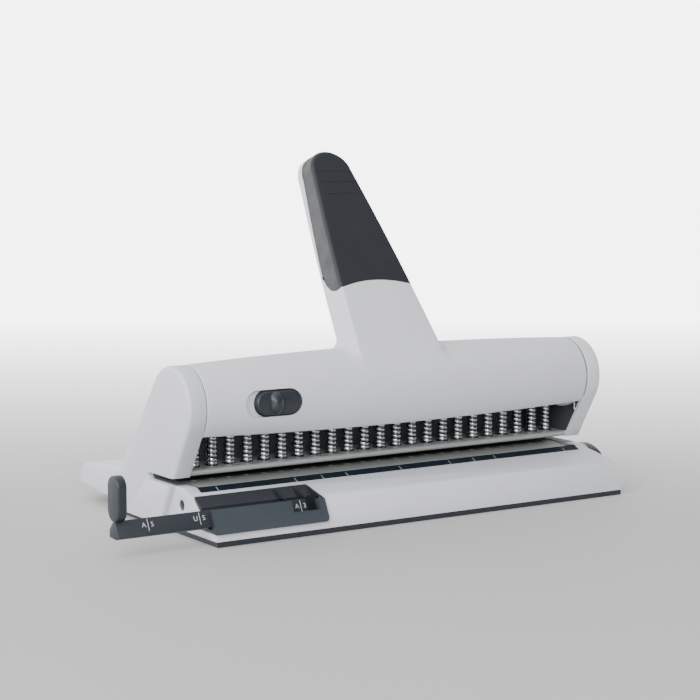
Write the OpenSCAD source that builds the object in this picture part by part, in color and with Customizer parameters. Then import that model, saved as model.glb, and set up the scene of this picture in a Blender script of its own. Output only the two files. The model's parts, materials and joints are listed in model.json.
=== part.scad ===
// Desk punch for a long row of holes. A lever on a turning drum drives a bar of punches through paper.
// X runs along the row, Y from front to rear and Z up, in millimetres.
// The origin lies on the desk, straight below the middle punch.

/* [Punch row] */
// Number of punches
punch_count = 23; // [19:2:27]
// Distance from one punch to the next
punch_pitch = 12; // [11:0.25:14]
// Diameter of a punch
punch_d = 4; // [3:0.1:4.4]
// Diameter of a punch's head
head_d = 7; // [6.8:0.1:8]
// Height of a punch's head
head_h = 2; // [1.5:0.1:3]
// Way that the punches travel down
stroke = 5.5; // [5:0.1:5.8]
// Height of a punch spring at rest
spring_h = 18; // [16:0.5:19]
// Outer diameter of a punch spring
spring_d = 6.8; // [6.6:0.1:7.4]
// Wire of the springs
wire_d = 1.1; // [0.7:0.1:1.1]
// Turns of a punch spring
spring_turns = 3.5; // [2.5:0.5:4]

/* [Paper slot] */
// Height of the table that the paper lies on
table_z = 27.8; // [27:0.2:28.6]
// Height of the slot
slot_h = 4.6; // [4.4:0.1:5]
// Depth of the slot behind the row of punches
slot_rear = 20; // [18:0.5:24]
// Thickness of the die plate
die_t = 3.2; // [2.8:0.1:3.6]
// Thickness of the punch guide
guide_t = 3.6; // [3:0.1:4.5]
// Front edge of the punch guide
guide_front = -10; // [-12:0.5:-7]

/* [Cheeks] */
// Room from the last punch to the cheek
end_room = 8.7; // [8.6:0.1:14]
// Thickness of a cheek
cheek_t = 8.1; // [7.5:0.1:12]
// How far a cheek stands out past the apron's end
cheek_out = 3.4; // [1:0.1:5]
// Rounding of a cheek's outer edge
cheek_round = 2.4; // [1.5:0.1:4]
// Slope of the cheek's front edge, from the vertical
front_slope = 31; // [28:0.5:33]
// Slope of the cheek's rear edge, from the vertical
rear_slope = 38; // [36:0.5:40]

/* [Drum] */
// Front to rear place of the axle
axis_y = -8.5; // [-9.5:0.25:-8]
// Height of the axle
axis_z = 74; // [73.5:0.25:76]
// Radius of the drum at its ends
drum_r = 24; // [23.5:0.25:25]
// How much the drum swells in the middle
drum_bulge = 3.6; // [2:0.2:5]
// Wall of the drum
drum_wall = 2.4; // [2:0.1:2.6]
// Lower front edge of the drum, below the horizontal
lip_angle = 43; // [38:1:45]
// Turn of the lever from rest to the end of its travel
travel = 50; // [44:1:52]
// Diameter of the axle
axle_d = 10; // [8:0.5:11]

/* [Lever] */
// Lean of the lever to the rear
lever_lean = 36; // [25:1:40]
// Length of the lever above the axle
lever_reach = 160; // [140:1:190]
// Width of the lever at its root
lever_root_w = 62.6; // [56:0.2:70]
// Width of the lever half way up
lever_mid_w = 48.4; // [42:0.2:52]
// Width of the lever at its round tip
lever_tip_w = 29.2; // [26:0.2:36]
// Thickness of the lever
lever_t = 21; // [17:0.5:22]
// Lower edge of the grip, along the lever
grip_from = 58.6; // [45:0.2:80]
// Thickness of the grip
grip_t = 2.2; // [1.5:0.1:3]
// Bare rim of the lever behind the grip
rim_t = 4; // [3:0.5:6]

/* [Lock] */
// Distance from the drum's left end to the recess for the lock
lock_from = 24.9; // [22:0.1:32]
// Length of the lock slider
lock_w = 31; // [26:0.2:34]
// Height of the lock slider
lock_h = 15.4; // [13:0.2:17]
// Way that the lock slides
lock_way = 6; // [4:0.2:6.2]

/* [Base] */
// Front edge of the base
front_y = -58; // [-60:0.5:-57]
// Rear edge of the base under the cheeks
base_rear = 58; // [56:0.5:60]
// Rear end of the shelf
shelf_rear = 122; // [105:1:140]
// Thickness of the base plate
plate_t = 3; // [2.5:0.1:3.4]
// Height of the crease along the apron's front
crease_z = 20.8; // [20.6:0.1:22]
// How far the crease lies behind the front edge
crease_back = 7.3; // [6.8:0.1:8]
// Wall of the apron
apron_wall = 2; // [1.5:0.1:2.2]
// Diameter of the hole in the apron's left end
push_hole_d = 6.5; // [5:0.5:9]
// Radius of the chip tray's arched end
cap_r = 24.8; // [23.6:0.2:25]
// How far the chip tray's end stands out
cap_t = 8; // [6:0.5:12]

/* [Paper stop] */
// Length of the ruler
ruler_len = 123.5; // [122:0.5:134]
// Width of the ruler's face
ruler_w = 10.2; // [9:0.1:10.4]
// Thickness of the ruler
ruler_t = 3; // [2:0.1:3.2]
// How far the ruler stands out of the base
ruler_out = 58.7; // [57:0.1:60]
// Length of the stop's housing
housing_len = 75.5; // [73:0.5:90]
// Height of the paddle
paddle_h = 26; // [20:0.5:40]
// Width of the paddle
paddle_w = 13.5; // [12:0.5:15]
// Thickness of the paddle
paddle_t = 5.6; // [3:0.1:6]

/* [Hidden] */
$fn = 64;

// Clearances: between pieces that move, in a running fit, and round a piece laid in a recess
gap = 0.4;
running = 0.05;
inlay = 0.1;
// How far a cut goes past a face
past = 1;

// Light plastic, dark plastic, dark rubber, steel and bright steel
light = "gainsboro";
dark = "#4b5057";
rubber = "#363a42";
steel = "#a5aaa9";
bright = "silver";

// Places along X
row_half = (punch_count - 1) / 2 * punch_pitch;
inner_half = row_half + end_room;
outer_half = inner_half + cheek_t;
drum_half = inner_half - gap - inlay;
web_t = 4;

// Heights of the slot and the punches
die_z = table_z - die_t;
guide_z = table_z + slot_h;
guide_top = guide_z + guide_t;
head_z = guide_top + spring_h;
bar_z = head_z + head_h;
tip_lift = 0.4;

// Pressure bar, its followers and the posts that guide it
bar_w = 10;
bar_h = 5;
bar_half = row_half + 3.2;
bar_top = bar_z + bar_h;
follower_h = 4;
follower_t = 8;
cam_x = row_half / 2;
cam_t = 6;
cam_drop = axis_z - bar_top - follower_h;
cam_gain = stroke / (travel * PI / 180);
cam_hub_d = axle_d + 4;
follower_front = axis_y - cam_gain - 4.2;
post_x = row_half - punch_pitch / 2;
post_y = 9;
post_d = 5;
ear_w = 9;

// Backstop at the slot's end, and the wall behind the springs
stop_t = 4;
stop_front = slot_rear - stop_t;
wall_t = 1.5;

// Drum's shape: an arc of barrel_r turned round the axle
drum_mid_r = drum_r + drum_bulge;
barrel_r = (drum_half * drum_half + drum_bulge * drum_bulge) / (2 * drum_bulge);
lip_at = 180 + lip_angle;
lip_span = 5;
seam_room = 2.2;
seam_gap = 0.3;
shell_rear = rear_slope + seam_room;
skirt_r = drum_r - drum_wall - 0.8;
skirt_t = 1.6;
skirt_end = rear_slope - travel - 4;
skirt_lap = 6;

// Lever's own frame: depth in front of the axle, and length along its front face
lever_front = drum_mid_r + 0.2;
lever_back = lever_front - lever_t;
tip_r = lever_tip_w / 2;
tip_v = lever_reach - tip_r;
root_v = 8;
mid_v = (root_v + tip_v) / 2;
flare_r = 9;

// Return spring round the axle
coil_r = axle_d / 2 + 1.6;
coil_lead = 2.4;
coil_turns = 3;
coil_x = row_half - 22;

// Lock: slider in the drum's wall, with a stem down to the bolt
lock_x = -drum_half + lock_from;
lock_room = 0.3;
lock_z = axis_z + 1.3;
lock_mid = lock_x + lock_way + lock_room + lock_w / 2;
bolt_d = 5;
bolt_r = 16.5;
bolt_end = drum_half - 0.6;
bolt_at = [axis_y - sqrt(bolt_r * bolt_r - (lock_z - axis_z) * (lock_z - axis_z)), lock_z];
stem_d = 4.6;
slider_proud = 0.6;
slider_t = 2;
ridge_x = lock_mid - 2;
ridge_w = 7;
ridge_h = lock_h - 4;
ridge_rise = 1.6;
lock_plate_t = 2.4;
lock_plate_room = 4;

// Apron's outline: an arc up to the crease, then a flat slope up to the strip
apron_r = 36;
strip_y = -25.2;
strip_z = table_z - 2.4;
die_front = -20;
ledge_y = -14;
front_low = [front_y, plate_t];
crease = [front_y + crease_back, crease_z];
front_mid = (front_low + crease) / 2;
front_len = norm(crease - front_low);
front_dir = (crease - front_low) / front_len;
front_sag = sqrt(apron_r * apron_r - front_len * front_len / 4);
front_c = front_mid + [front_dir[1], -front_dir[0]] * front_sag;
front_a0 = atan2(front_low[1] - front_c[1], front_low[0] - front_c[0]);
front_a1 = atan2(crease[1] - front_c[1], crease[0] - front_c[0]);
inner_r = apron_r - apron_wall;
inner_a0 = 180 - asin((plate_t - front_c[1]) / inner_r);

// Shelf behind the cheeks
nose_r = 14.3;
shelf_top = 24.4;
shelf_wall = 2.4;
shelf_kink = [base_rear + 25, plate_t + 4.5];

// Chip tray, its tall left end and its round right end
tray_y = [-36, 7];
tray_z = [plate_t + gap, plate_t + 8.4];
tray_wall = 1.6;
tray_left = -inner_half + 4;
push_at = [-16.5, 17.5];
push_plate = [[-25, plate_t + gap], [-8, push_at[1] + 3.7]];
cap_at = [-15.2, plate_t];
cap_edge = 2.4;
cap_crown = 0.8;

// Paper stop: its ruler leans back with the apron's front
ruler_tilt = 27;
ruler_at = [front_y + 5.4, plate_t + 8];
ruler_up = [sin(ruler_tilt), cos(ruler_tilt)];
ruler_back = [cos(ruler_tilt), -sin(ruler_tilt)];
ruler_top = ruler_at + ruler_up * ruler_w;
ruler_mid = ruler_at + ruler_back * ruler_t / 2;
ruler_rear_top = ruler_top + ruler_back * ruler_t;
ruler_x = -outer_half - ruler_out;
block_w = 6;
paddle_y = ruler_top[0] + 1.6;
paddle_z = ruler_top[1] - 1;

// Housing of the paper stop: front wall, floor, back wall and sloping flange
housing_x = [-outer_half - 0.6, -outer_half - 0.6 + housing_len];
housing_wall = 1.8;
front_wall_t = 3.8;
front_wall_up = 8.6;
front_wall_down = 6.3;
wall_at = ruler_at - ruler_back * (front_wall_t + gap + inlay);
wall_low = wall_at - ruler_up * front_wall_down;
wall_high = wall_at + ruler_up * front_wall_up;
floor_z = [plate_t + 4.5, plate_t + 6.3];
back_wall_y = [ruler_at[0] + 11.6, ruler_at[0] + 11.6 + housing_wall];
flange_low = plate_t + 17;
flange_end = [front_y + 25, plate_t + 22.2];
window_x = [housing_x[1] - 22.5, housing_x[1] - 4.5];
window_low = 1.5;
rib_t = 1.6;
rib_x = [housing_x[1] - 24.5, housing_x[1] - 11];
rib_foot = [ruler_top[0] - 0.7, ruler_top[1] + 0.7];
stop_way = rib_x[0] - ruler_x - block_w - 3.4;
leaf_r = 5.6;
leaf_t = 0.6;
leaf_x = housing_x[1] - 14.5;
leaf_z = [plate_t + 9, plate_t + 12];

// Bushes and screws
bush_d = axle_d + 4;
bush_len = 5.2;
screw_d = 3;
screw_head_d = 6;
screw_head_h = 1.6;
screw_len = 14;
screw_sunk = 0.3;
screw_x = inner_half + cheek_t / 2;
screw_y = [22, 46];

// Foot pads
pad_d = 18;
pad_t = 1.4;
pad_x = outer_half - 20;
pad_y = [front_y + 14, base_rear - 14];

// Springs: room at each end, rings per turn and sides of the wire
spring_seat = 0.3;
rings = 8;
sides = 6;

// Point at radius r and angle a round c
function polar(c, r, a) = [c[0] + r * cos(a), c[1] + r * sin(a)];
// Points of an arc from angle a0 to a1 in n steps
function arc(c, r, a0, a1, n) = [for (i = [0:n]) polar(c, r, a0 + (a1 - a0) * i / n)];
// Place of punch i along the row
function punch_x(i) = (i - (punch_count - 1) / 2) * punch_pitch;
// Radius of the drum at place x
function drum_at(x) = drum_mid_r - barrel_r + sqrt(barrel_r * barrel_r - x * x);
// Front to rear place, at height z, of the cheek's front edge moved in by inset
function cheek_front(z, inset) =
    axis_y - (drum_r - inset + sin(front_slope) * (z - axis_z)) / cos(front_slope);
// Height, at place y, of the cheek's rear edge moved in by inset
function cheek_back(y, inset) =
    axis_z + (drum_r - inset - cos(rear_slope) * (y - axis_y)) / sin(rear_slope);
// Point of the involute cam that presses at turn a of the lever
function cam_point(a) = let (h = cam_drop - gap + cam_gain * a * PI / 180)
    [-cam_gain * cos(a) - h * sin(a), cam_gain * sin(a) - h * cos(a)];
// Unit vector along v
function unit(v) = v / norm(v);
// Direction of a path at its point i
function heading(path, i) = unit(path[min(i + 1, len(path) - 1)] - path[max(i - 1, 0)]);
// Ring of points round a path's point i, turned by a guide direction that the path never takes
function wire_ring(path, i, guide) =
    let (side = unit(cross(guide, heading(path, i))), rise = cross(heading(path, i), side))
    [for (k = [0:sides - 1])
        path[i] + wire_d / 2 * (cos(360 * k / sides) * side + sin(360 * k / sides) * rise)];
// Least distance between the wires of a path that lie most of a turn apart
function own_gap(path) = let (apart = rings - 1)
    min([for (i = [0:len(path) - 1 - apart], j = [i + apart:len(path) - 1])
        norm(path[i] - path[j])]) - wire_d;
// Path of one punch spring, from its foot on the guide to the punch's head
function punch_spring() =
    let (low = guide_top + spring_seat + wire_d / 2, high = head_z - spring_seat - wire_d / 2,
        r = (spring_d - wire_d) / 2, steps = rings * spring_turns)
    [for (i = [0:steps]) [r * cos(360 * i / rings), r * sin(360 * i / rings), low + (high - low) * i / steps]];
// Point at place x, at radius r and angle a round the axle
function round_axle(x, r, a) = [x, axis_y + r * cos(a), axis_z + r * sin(a)];
// Path of the return spring: its coil, then a leg that hooks under the drum's right end
function spring_leg() = let (x = inner_half)
    [[x - drum_r / 2, drum_r / 2, lip_at + 9], [x - 7.5, drum_r - 5.5, lip_at + 4], [x - 5, drum_r - 2, lip_at + 4],
    [x - 3.9, drum_r - 0.3, lip_at + 6], [x - 3.6, drum_r + 1.6, lip_at + 11],
    [x - 2.5, drum_r + 2.3, lip_at + 14], [x - 1.4, drum_r + 1.6, lip_at + 11],
    [x - 1.1, drum_r - 0.3, lip_at + 6]];
function return_path() = concat(
    [for (i = [0:rings * coil_turns]) round_axle(coil_x + coil_lead * i / rings, coil_r,
        lip_at - 80 + 360 * i / rings)],
    [for (p = spring_leg()) round_axle(p[0], p[1], p[2])]);

echo(punch_spring_gap = own_gap(punch_spring()), return_spring_gap = own_gap(return_path()));

// One unbroken wire along a path
module wire(path, guide) {
    last = (len(path) - 1) * sides;
    points = [for (i = [0:len(path) - 1]) each wire_ring(path, i, guide)];
    walls = [for (i = [0:len(path) - 2], k = [0:sides - 1])
        let (a = i * sides + k, b = i * sides + (k + 1) % sides)
        each [[a, a + sides, b], [b, a + sides, b + sides]]];
    lids = [for (k = [1:sides - 2]) each [[0, k, k + 1], [last, last + k + 1, last + k]]];
    polyhedron(points, concat(walls, lids));
}

// Outline in the Y and Z plane, drawn out along X from x0 to x1
module along_x(x0, x1) {
    translate([x0, 0, 0]) rotate([90, 0, 90]) linear_extrude(x1 - x0) children();
}

// Round bar along X at y and z
module rod_x(y, z, d, x0, x1) {
    translate([x0, y, z]) rotate([0, 90, 0]) cylinder(d = d, h = x1 - x0);
}

// Rectangle from corner a to corner b
module box2(a, b) {
    translate(a) square(b - a);
}

// Capsule of length w and height h, centred
module capsule(w, h) {
    square([w - h, h], center = true);
    for (side = [-1, 1]) translate([side * (w - h) / 2, 0]) circle(d = h);
}

// Part of the barrel between two depths under its surface, from angle a0 to a1 round the axle
module barrel(depth0, depth1, a0, a1) {
    translate([0, axis_y, axis_z]) rotate([0, 90, 0]) rotate([0, 0, a0 + 90])
        rotate_extrude(angle = a1 - a0) intersection() {
            translate([drum_mid_r - barrel_r, 0]) difference() {
                circle(r = barrel_r - depth0, $fn = 2880);
                circle(r = barrel_r - depth1, $fn = 2880);
            }
            translate([0, -drum_half]) square([2 * drum_mid_r, 2 * drum_half]);
        }
}

// Dark plate under the whole base
module base_plate() {
    color(rubber) difference() {
        translate([-outer_half + gap, front_y, 0])
            cube([2 * (outer_half - gap), base_rear - front_y, plate_t]);
        for (side = [-1, 1], y = pad_y)
            translate([side * pad_x, y, -past]) cylinder(d = pad_d + 2 * inlay, h = past + pad_t);
        for (side = [-1, 1], y = screw_y) translate([side * screw_x, y, -past]) {
            cylinder(d = screw_d, h = plate_t + 2 * past);
            cylinder(d = screw_head_d, h = past + screw_sunk + screw_head_h);
        }
    }
}

// Soft pads let into the plate's underside
module foot_pads() {
    color("black") for (side = [-1, 1], y = pad_y)
        translate([side * pad_x, y, 0]) cylinder(d = pad_d, h = pad_t);
}

// Screws that hold the cheeks on the plate
module base_screws() {
    color(bright) for (side = [-1, 1], y = screw_y) translate([side * screw_x, y, screw_sunk]) {
        cylinder(d = screw_d, h = screw_len - screw_sunk);
        cylinder(d = screw_head_d, h = screw_head_h);
    }
}

// Outline of the apron's closed ends, back to the cheek's front edge
module apron_end() {
    polygon(concat(arc(front_c, apron_r, front_a0, front_a1, 10), [[strip_y, strip_z],
        [die_front, table_z], [cheek_front(table_z, 0), table_z],
        [cheek_front(plate_t, 0), plate_t]]));
}

// Bent sheet of the apron between its ends, with a ledge for the strip and the die plate
module apron_sheet() {
    polygon(concat(arc(front_c, apron_r, front_a0, front_a1, 10),
        [[strip_y, strip_z], [strip_y, die_z], [ledge_y, die_z], [ledge_y, die_z - apron_wall],
        [strip_y, die_z - apron_wall]], arc(front_c, inner_r, front_a1, inner_a0, 10)));
}

// Way that the chip tray slides out through the right end
module tray_way() {
    along_x(inner_half - past, outer_half + past)
        box2([tray_y[0] - gap, plate_t - past], [tray_y[1] + gap, tray_z[1] + gap]);
}

// Light wedge in front of the slot
module front_apron() {
    color(light) difference() {
        union() {
            along_x(-inner_half, inner_half) apron_sheet();
            along_x(inner_half, outer_half) apron_end();
            along_x(-outer_half, -inner_half) apron_end();
        }
        along_x(-outer_half - past, housing_x[1]) housing_outline();
        rod_x(push_at[0], push_at[1], push_hole_d, -outer_half - past, -inner_half + past);
        along_x(housing_x[1] - past, ruler_x + ruler_len + stop_way + past) ruler_outline(gap);
        tray_way();
    }
}

// Dark strip at the slot's mouth
module scale_strip() {
    color("#0d1c26") along_x(-inner_half, inner_half)
        polygon([[strip_y, die_z], [strip_y, strip_z], [die_front, table_z], [die_front, die_z]]);
}

// Cheek's outline, moved in by inset at its top, front and rear edges
module cheek_outline(inset) {
    rear = base_rear - inset;
    polygon(concat([[cheek_front(plate_t, inset), plate_t], [rear, plate_t],
        [rear, cheek_back(rear, inset)]],
        arc([axis_y, axis_z], drum_r - inset, rear_slope, 180 + front_slope, 28)));
}

// Right side plate with a rounded outer edge, the paper slot and the seat of the bush
module cheek() {
    flat = cheek_t + cheek_out - cheek_round;
    difference() {
        hull() for (a = [0:15:90]) along_x(inner_half, inner_half + flat + cheek_round * sin(a))
            cheek_outline(cheek_round * (1 - cos(a)));
        along_x(inner_half - past, outer_half + cheek_out + past) {
            box2([2 * front_y, table_z], [slot_rear - slot_h / 2, guide_z]);
            translate([slot_rear - slot_h / 2, table_z + slot_h / 2]) circle(d = slot_h);
        }
        rod_x(axis_y, axis_z, bush_d, inner_half - past, inner_half + bush_len);
        for (y = screw_y) translate([screw_x, y, 0]) cylinder(d = screw_d, h = screw_len);
    }
}

// Arc in the left cheek that the lock's bolt can reach at any turn of the lever
module bolt_pocket() {
    axis = [axis_y, axis_z];
    at = 180 - asin((lock_z - axis_z) / bolt_r);
    room = bolt_d / 2 + gap;
    along_x(-inner_half - lock_way, -inner_half + past) polygon(concat(
        arc(axis, bolt_r + room, at, at + travel, 12),
        arc(polar(axis, bolt_r, at + travel), room, at + travel + 20, at + travel + 160, 7),
        arc(axis, bolt_r - room, at + travel, at, 12),
        arc(polar(axis, bolt_r, at), room, at + 200, at + 340, 7)));
}

// Left side plate, with the pocket for the lock's bolt
module left_cheek() {
    color(light) difference() {
        mirror([1, 0, 0]) cheek();
        bolt_pocket();
    }
}

// Right side plate, cut for the chip tray, and flush with the apron's end below the slot
module right_cheek() {
    color(light) difference() {
        cheek();
        tray_way();
        translate([outer_half, 2 * front_y, 0])
            cube([cheek_out + past, 2 * (base_rear - front_y), guide_z]);
    }
}

// Bowed panel from the drum down to the shelf
module rear_cover() {
    slope = [sin(rear_slope), -cos(rear_slope)];
    top = polar([axis_y, axis_z], drum_r, rear_slope) + slope * seam_gap;
    foot_z = cheek_back(base_rear, 0);
    length = (top[1] - foot_z) / cos(rear_slope);
    foot = top + slope * length;
    color(light) translate([0, foot[0], foot[1]]) rotate([rear_slope, 0, 0])
        linear_extrude(length) intersection() {
            translate([0, drum_bulge - barrel_r]) difference() {
                circle(r = barrel_r, $fn = 2880);
                circle(r = barrel_r - drum_wall, $fn = 2880);
            }
            translate([-inner_half, -drum_mid_r]) square([2 * inner_half, 2 * drum_mid_r]);
        }
}

// Shelf's outline, moved in by wall
module shelf_outline(wall) {
    nose_c = [shelf_rear - nose_r, shelf_top - nose_r];
    polygon(concat([[base_rear + wall, plate_t], [base_rear + wall, cheek_back(base_rear, 0) - wall]],
        arc(nose_c, nose_r - wall, 90, 0, 10), [shelf_kink]));
}

// Shelf behind the cheeks with a round nose, hollow from below
module rear_shelf() {
    color(light) difference() {
        along_x(-outer_half, outer_half) shelf_outline(0);
        along_x(-outer_half + shelf_wall, outer_half - shelf_wall) {
            shelf_outline(shelf_wall);
            box2([base_rear + shelf_wall, 0], [shelf_rear - nose_r, shelf_top / 2]);
        }
    }
}

// Beam that carries the rear of the die plate
module support_beam() {
    color(dark) along_x(-inner_half, inner_half) box2([stop_front, plate_t], [slot_rear, die_z]);
}

// Table with one die under each punch
module die_plate() {
    color(steel) difference() {
        along_x(-inner_half, inner_half) box2([die_front, die_z], [slot_rear, table_z]);
        for (i = [0:punch_count - 1]) translate([punch_x(i), 0, die_z - past])
            cylinder(d = punch_d + 2 * running, h = die_t + 2 * past);
    }
}

// Spacer at the end of the slot, where the paper stops
module paper_backstop() {
    color(steel) along_x(-inner_half, inner_half) box2([stop_front, table_z], [slot_rear, guide_z]);
}

// Rail that guides the punches, with a rounded front lip
module punch_guide() {
    color(steel) difference() {
        along_x(-inner_half, inner_half) {
            box2([guide_front + guide_t / 2, guide_z], [slot_rear, guide_top]);
            translate([guide_front + guide_t / 2, guide_z + guide_t / 2]) circle(d = guide_t);
        }
        for (i = [0:punch_count - 1]) translate([punch_x(i), 0, guide_z - past])
            cylinder(d = punch_d + 2 * running, h = guide_t + 2 * past);
        for (side = [-1, 1]) translate([side * post_x, post_y, guide_z - past])
            cylinder(d = post_d, h = guide_t + 2 * past);
    }
}

// Dark wall behind the springs
module back_plate() {
    color(rubber) along_x(-inner_half, inner_half)
        box2([stop_front, guide_top], [stop_front + wall_t, bar_z]);
}

// Posts that keep the pressure bar level
module guide_posts() {
    color(bright) for (side = [-1, 1]) translate([side * post_x, post_y, guide_z])
        cylinder(d = post_d, h = bar_top + post_d / 2 - guide_z);
}

// Bush in the right cheek
module bush() {
    difference() {
        rod_x(axis_y, axis_z, bush_d, inner_half, inner_half + bush_len);
        rod_x(axis_y, axis_z, axle_d + 2 * running, inner_half - past, inner_half + bush_len + past);
    }
}

// Bush in the left cheek
module left_bush() {
    color("peru") mirror([1, 0, 0]) bush();
}

// Bush in the right cheek, in its colour
module right_bush() {
    color("peru") bush();
}

// Axle that turns with the drum
module axle() {
    half = inner_half + bush_len - gap;
    color(bright) rod_x(axis_y, axis_z, axle_d, -half, half);
}

// Two involute cams, so that the bar goes down evenly as the lever turns
module press_cams() {
    steps = 20;
    lobe = [for (i = [0:steps]) cam_point(travel * i / steps)];
    color(bright) for (side = [-1, 1]) translate([side * cam_x, axis_y, axis_z]) difference() {
        along_x(-cam_t / 2, cam_t / 2) {
            circle(d = cam_hub_d);
            polygon(concat([[0, 0]], lobe, [polar([0, 0], cam_hub_d / 2 - past, 150)]));
        }
        rod_x(0, 0, axle_d, -cam_t, cam_t);
    }
}

// Lever's outline seen square to its front face, moved in by inset
module lever_outline(inset) {
    half = [lever_root_w / 2 - inset, lever_mid_w / 2 - inset, tip_r - inset];
    polygon([[-half[0], 0], [half[0], 0], [half[0], root_v], [half[1], mid_v], [half[2], tip_v],
        [-half[2], tip_v], [-half[1], mid_v], [-half[0], root_v]]);
    translate([0, tip_v]) circle(r = half[2]);
}

// Concave flares at the lever's foot
module lever_flares() {
    for (side = [-1, 1]) difference() {
        translate([side * (lever_root_w + flare_r) / 2, flare_r / 2]) square(flare_r, center = true);
        translate([side * (lever_root_w / 2 + flare_r), flare_r]) circle(r = flare_r);
    }
}

// Part of an outline on the lever between two places along it
module lever_zone(v0, v1) {
    intersection() {
        children();
        translate([-lever_root_w, v0]) square([2 * lever_root_w, v1 - v0]);
    }
}

// Outline on the lever, drawn out from depth n0 to n1 in front of the axle
module on_lever(n0, n1) {
    translate([0, axis_y, axis_z]) rotate([-lever_lean, 0, 0]) translate([0, -n0, 0])
        rotate([90, 0, 0]) linear_extrude(n1 - n0) children();
}

// Arm of the lever, cut back where the grip lies
module lever_arm() {
    on_lever(lever_back, lever_front) {
        lever_zone(0, grip_from) lever_outline(0);
        lever_flares();
    }
    on_lever(lever_back, lever_back + rim_t) lever_zone(grip_from, lever_reach) lever_outline(0);
    on_lever(lever_back, lever_front - grip_t)
        lever_zone(grip_from, lever_reach) lever_outline(grip_t);
}

// Outline of the drum's end web, which reaches into the wall and stays clear of the rear cover
module web() {
    axis = [axis_y, axis_z];
    polygon(concat(arc(axis, drum_r - drum_wall / 2, shell_rear + 1, lip_at - 1, 24),
        arc(axis, drum_r - drum_wall - gap, lip_at - 1, shell_rear + 361, 24)));
}

// Barrel-shaped cover and the lever's arm, in one moulding
module lever_drum() {
    web_mid = drum_half - web_t / 2;
    color(light) difference() {
        union() {
            barrel(0, drum_wall, shell_rear, lip_at);
            for (side = [-1, 1]) along_x(side * web_mid - web_t / 2, side * web_mid + web_t / 2) web();
            lever_arm();
        }
        rod_x(axis_y, axis_z, axle_d, -outer_half, outer_half);
        lock_prism(lock_x, lock_x + lock_w + lock_way + 2 * lock_room, lock_h + 2 * lock_room, bolt_r);
        rod_x(bolt_at[0], bolt_at[1], bolt_d + 2 * running, -outer_half, -drum_half + web_t + past);
    }
}

// Inner skirt between the drum's ends, which closes the gap that opens as the drum turns
module drum_skirt() {
    half = drum_half - web_t;
    axis = [axis_y, axis_z];
    color(light) along_x(-half, half) polygon(concat(arc(axis, skirt_r, skirt_end, shell_rear + skirt_lap, 24),
        arc(axis, skirt_r - skirt_t, shell_rear + skirt_lap, skirt_end, 24)));
}

// Dark pad on the lever's front and sides
module lever_grip() {
    color(rubber) difference() {
        on_lever(lever_back + rim_t, lever_front)
            lever_zone(grip_from, lever_reach) lever_outline(0);
        on_lever(lever_back, lever_front - grip_t)
            lever_zone(grip_from - past, lever_reach) lever_outline(grip_t);
    }
}

// Return spring, hooked under the drum's right end
module return_spring() {
    color(bright) wire(return_path(), [0.75, 0.45, -0.48]);
}

// Outline of the lock, drawn out to the front from a depth in front of the axle
module lock_prism(x0, x1, h, depth) {
    translate([(x0 + x1) / 2, axis_y - depth, lock_z]) rotate([90, 0, 0])
        linear_extrude(2 * drum_mid_r) capsule(x1 - x0, h);
}

// Plate behind the recess, with a slot for the lock's stem
module lock_guide() {
    room = lock_plate_room;
    color(light) difference() {
        intersection() {
            barrel(drum_wall + inlay, drum_wall + inlay + lock_plate_t, 140, lip_at - lip_span - 2);
            lock_prism(lock_x - room, lock_x + lock_w + lock_way + room, lock_h + 2 * room, bolt_r);
        }
        lock_prism(lock_mid - lock_way - stem_d / 2 - gap, lock_mid + stem_d / 2 + gap,
            stem_d + 2 * gap, 0);
    }
}

// Capsule that the finger pushes, with its ridge, and the stem that holds the bolt
module lock_slider() {
    reach = drum_at(lock_mid) - slider_t / 2;
    color(rubber) difference() {
        union() {
            intersection() {
                barrel(-slider_proud, slider_t, 140, lip_at);
                lock_prism(lock_mid - lock_w / 2, lock_mid + lock_w / 2, lock_h, bolt_r);
            }
            intersection() {
                barrel(-slider_proud - ridge_rise, slider_t, 140, lip_at);
                translate([ridge_x, axis_y - bolt_r, lock_z]) rotate([90, 90, 0])
                    linear_extrude(2 * drum_mid_r) capsule(ridge_h, ridge_w);
            }
            translate([lock_mid, bolt_at[0], lock_z]) rotate([90, 0, 0])
                cylinder(d = stem_d, h = reach - (axis_y - bolt_at[0]));
        }
        rod_x(bolt_at[0], bolt_at[1], bolt_d, -drum_half, drum_half);
    }
}

// Bolt that the slider carries
module lock_bolt() {
    color(bright) rod_x(bolt_at[0], bolt_at[1], bolt_d, -bolt_end, lock_mid + stem_d);
}

// Bar on the punches' heads, with ears for the posts and a follower under each cam
module pressure_bar() {
    color(steel) difference() {
        union() {
            along_x(-bar_half, bar_half) box2([-bar_w / 2, bar_z], [bar_w / 2, bar_top]);
            for (side = [-1, 1]) {
                along_x(side * post_x - ear_w / 2, side * post_x + ear_w / 2)
                    box2([0, bar_z], [post_y + ear_w / 2, bar_top]);
                along_x(side * cam_x - follower_t / 2, side * cam_x + follower_t / 2)
                    box2([follower_front, bar_top], [bar_w / 2, bar_top + follower_h]);
            }
        }
        for (side = [-1, 1]) translate([side * post_x, post_y, bar_z - past])
            cylinder(d = post_d + 2 * running, h = bar_h + 2 * past);
    }
}

// Row of punches with their heads
module punch_pins() {
    color(bright) for (i = [0:punch_count - 1]) translate([punch_x(i), 0, 0]) {
        translate([0, 0, guide_z + tip_lift]) cylinder(d = punch_d, h = head_z - guide_z - tip_lift);
        translate([0, 0, head_z]) cylinder(d = head_d, h = head_h);
    }
}

// One spring round each punch
module punch_springs() {
    color(bright) for (i = [0:punch_count - 1])
        translate([punch_x(i), 0, 0]) wire(punch_spring(), [0, 0, 1]);
}

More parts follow.
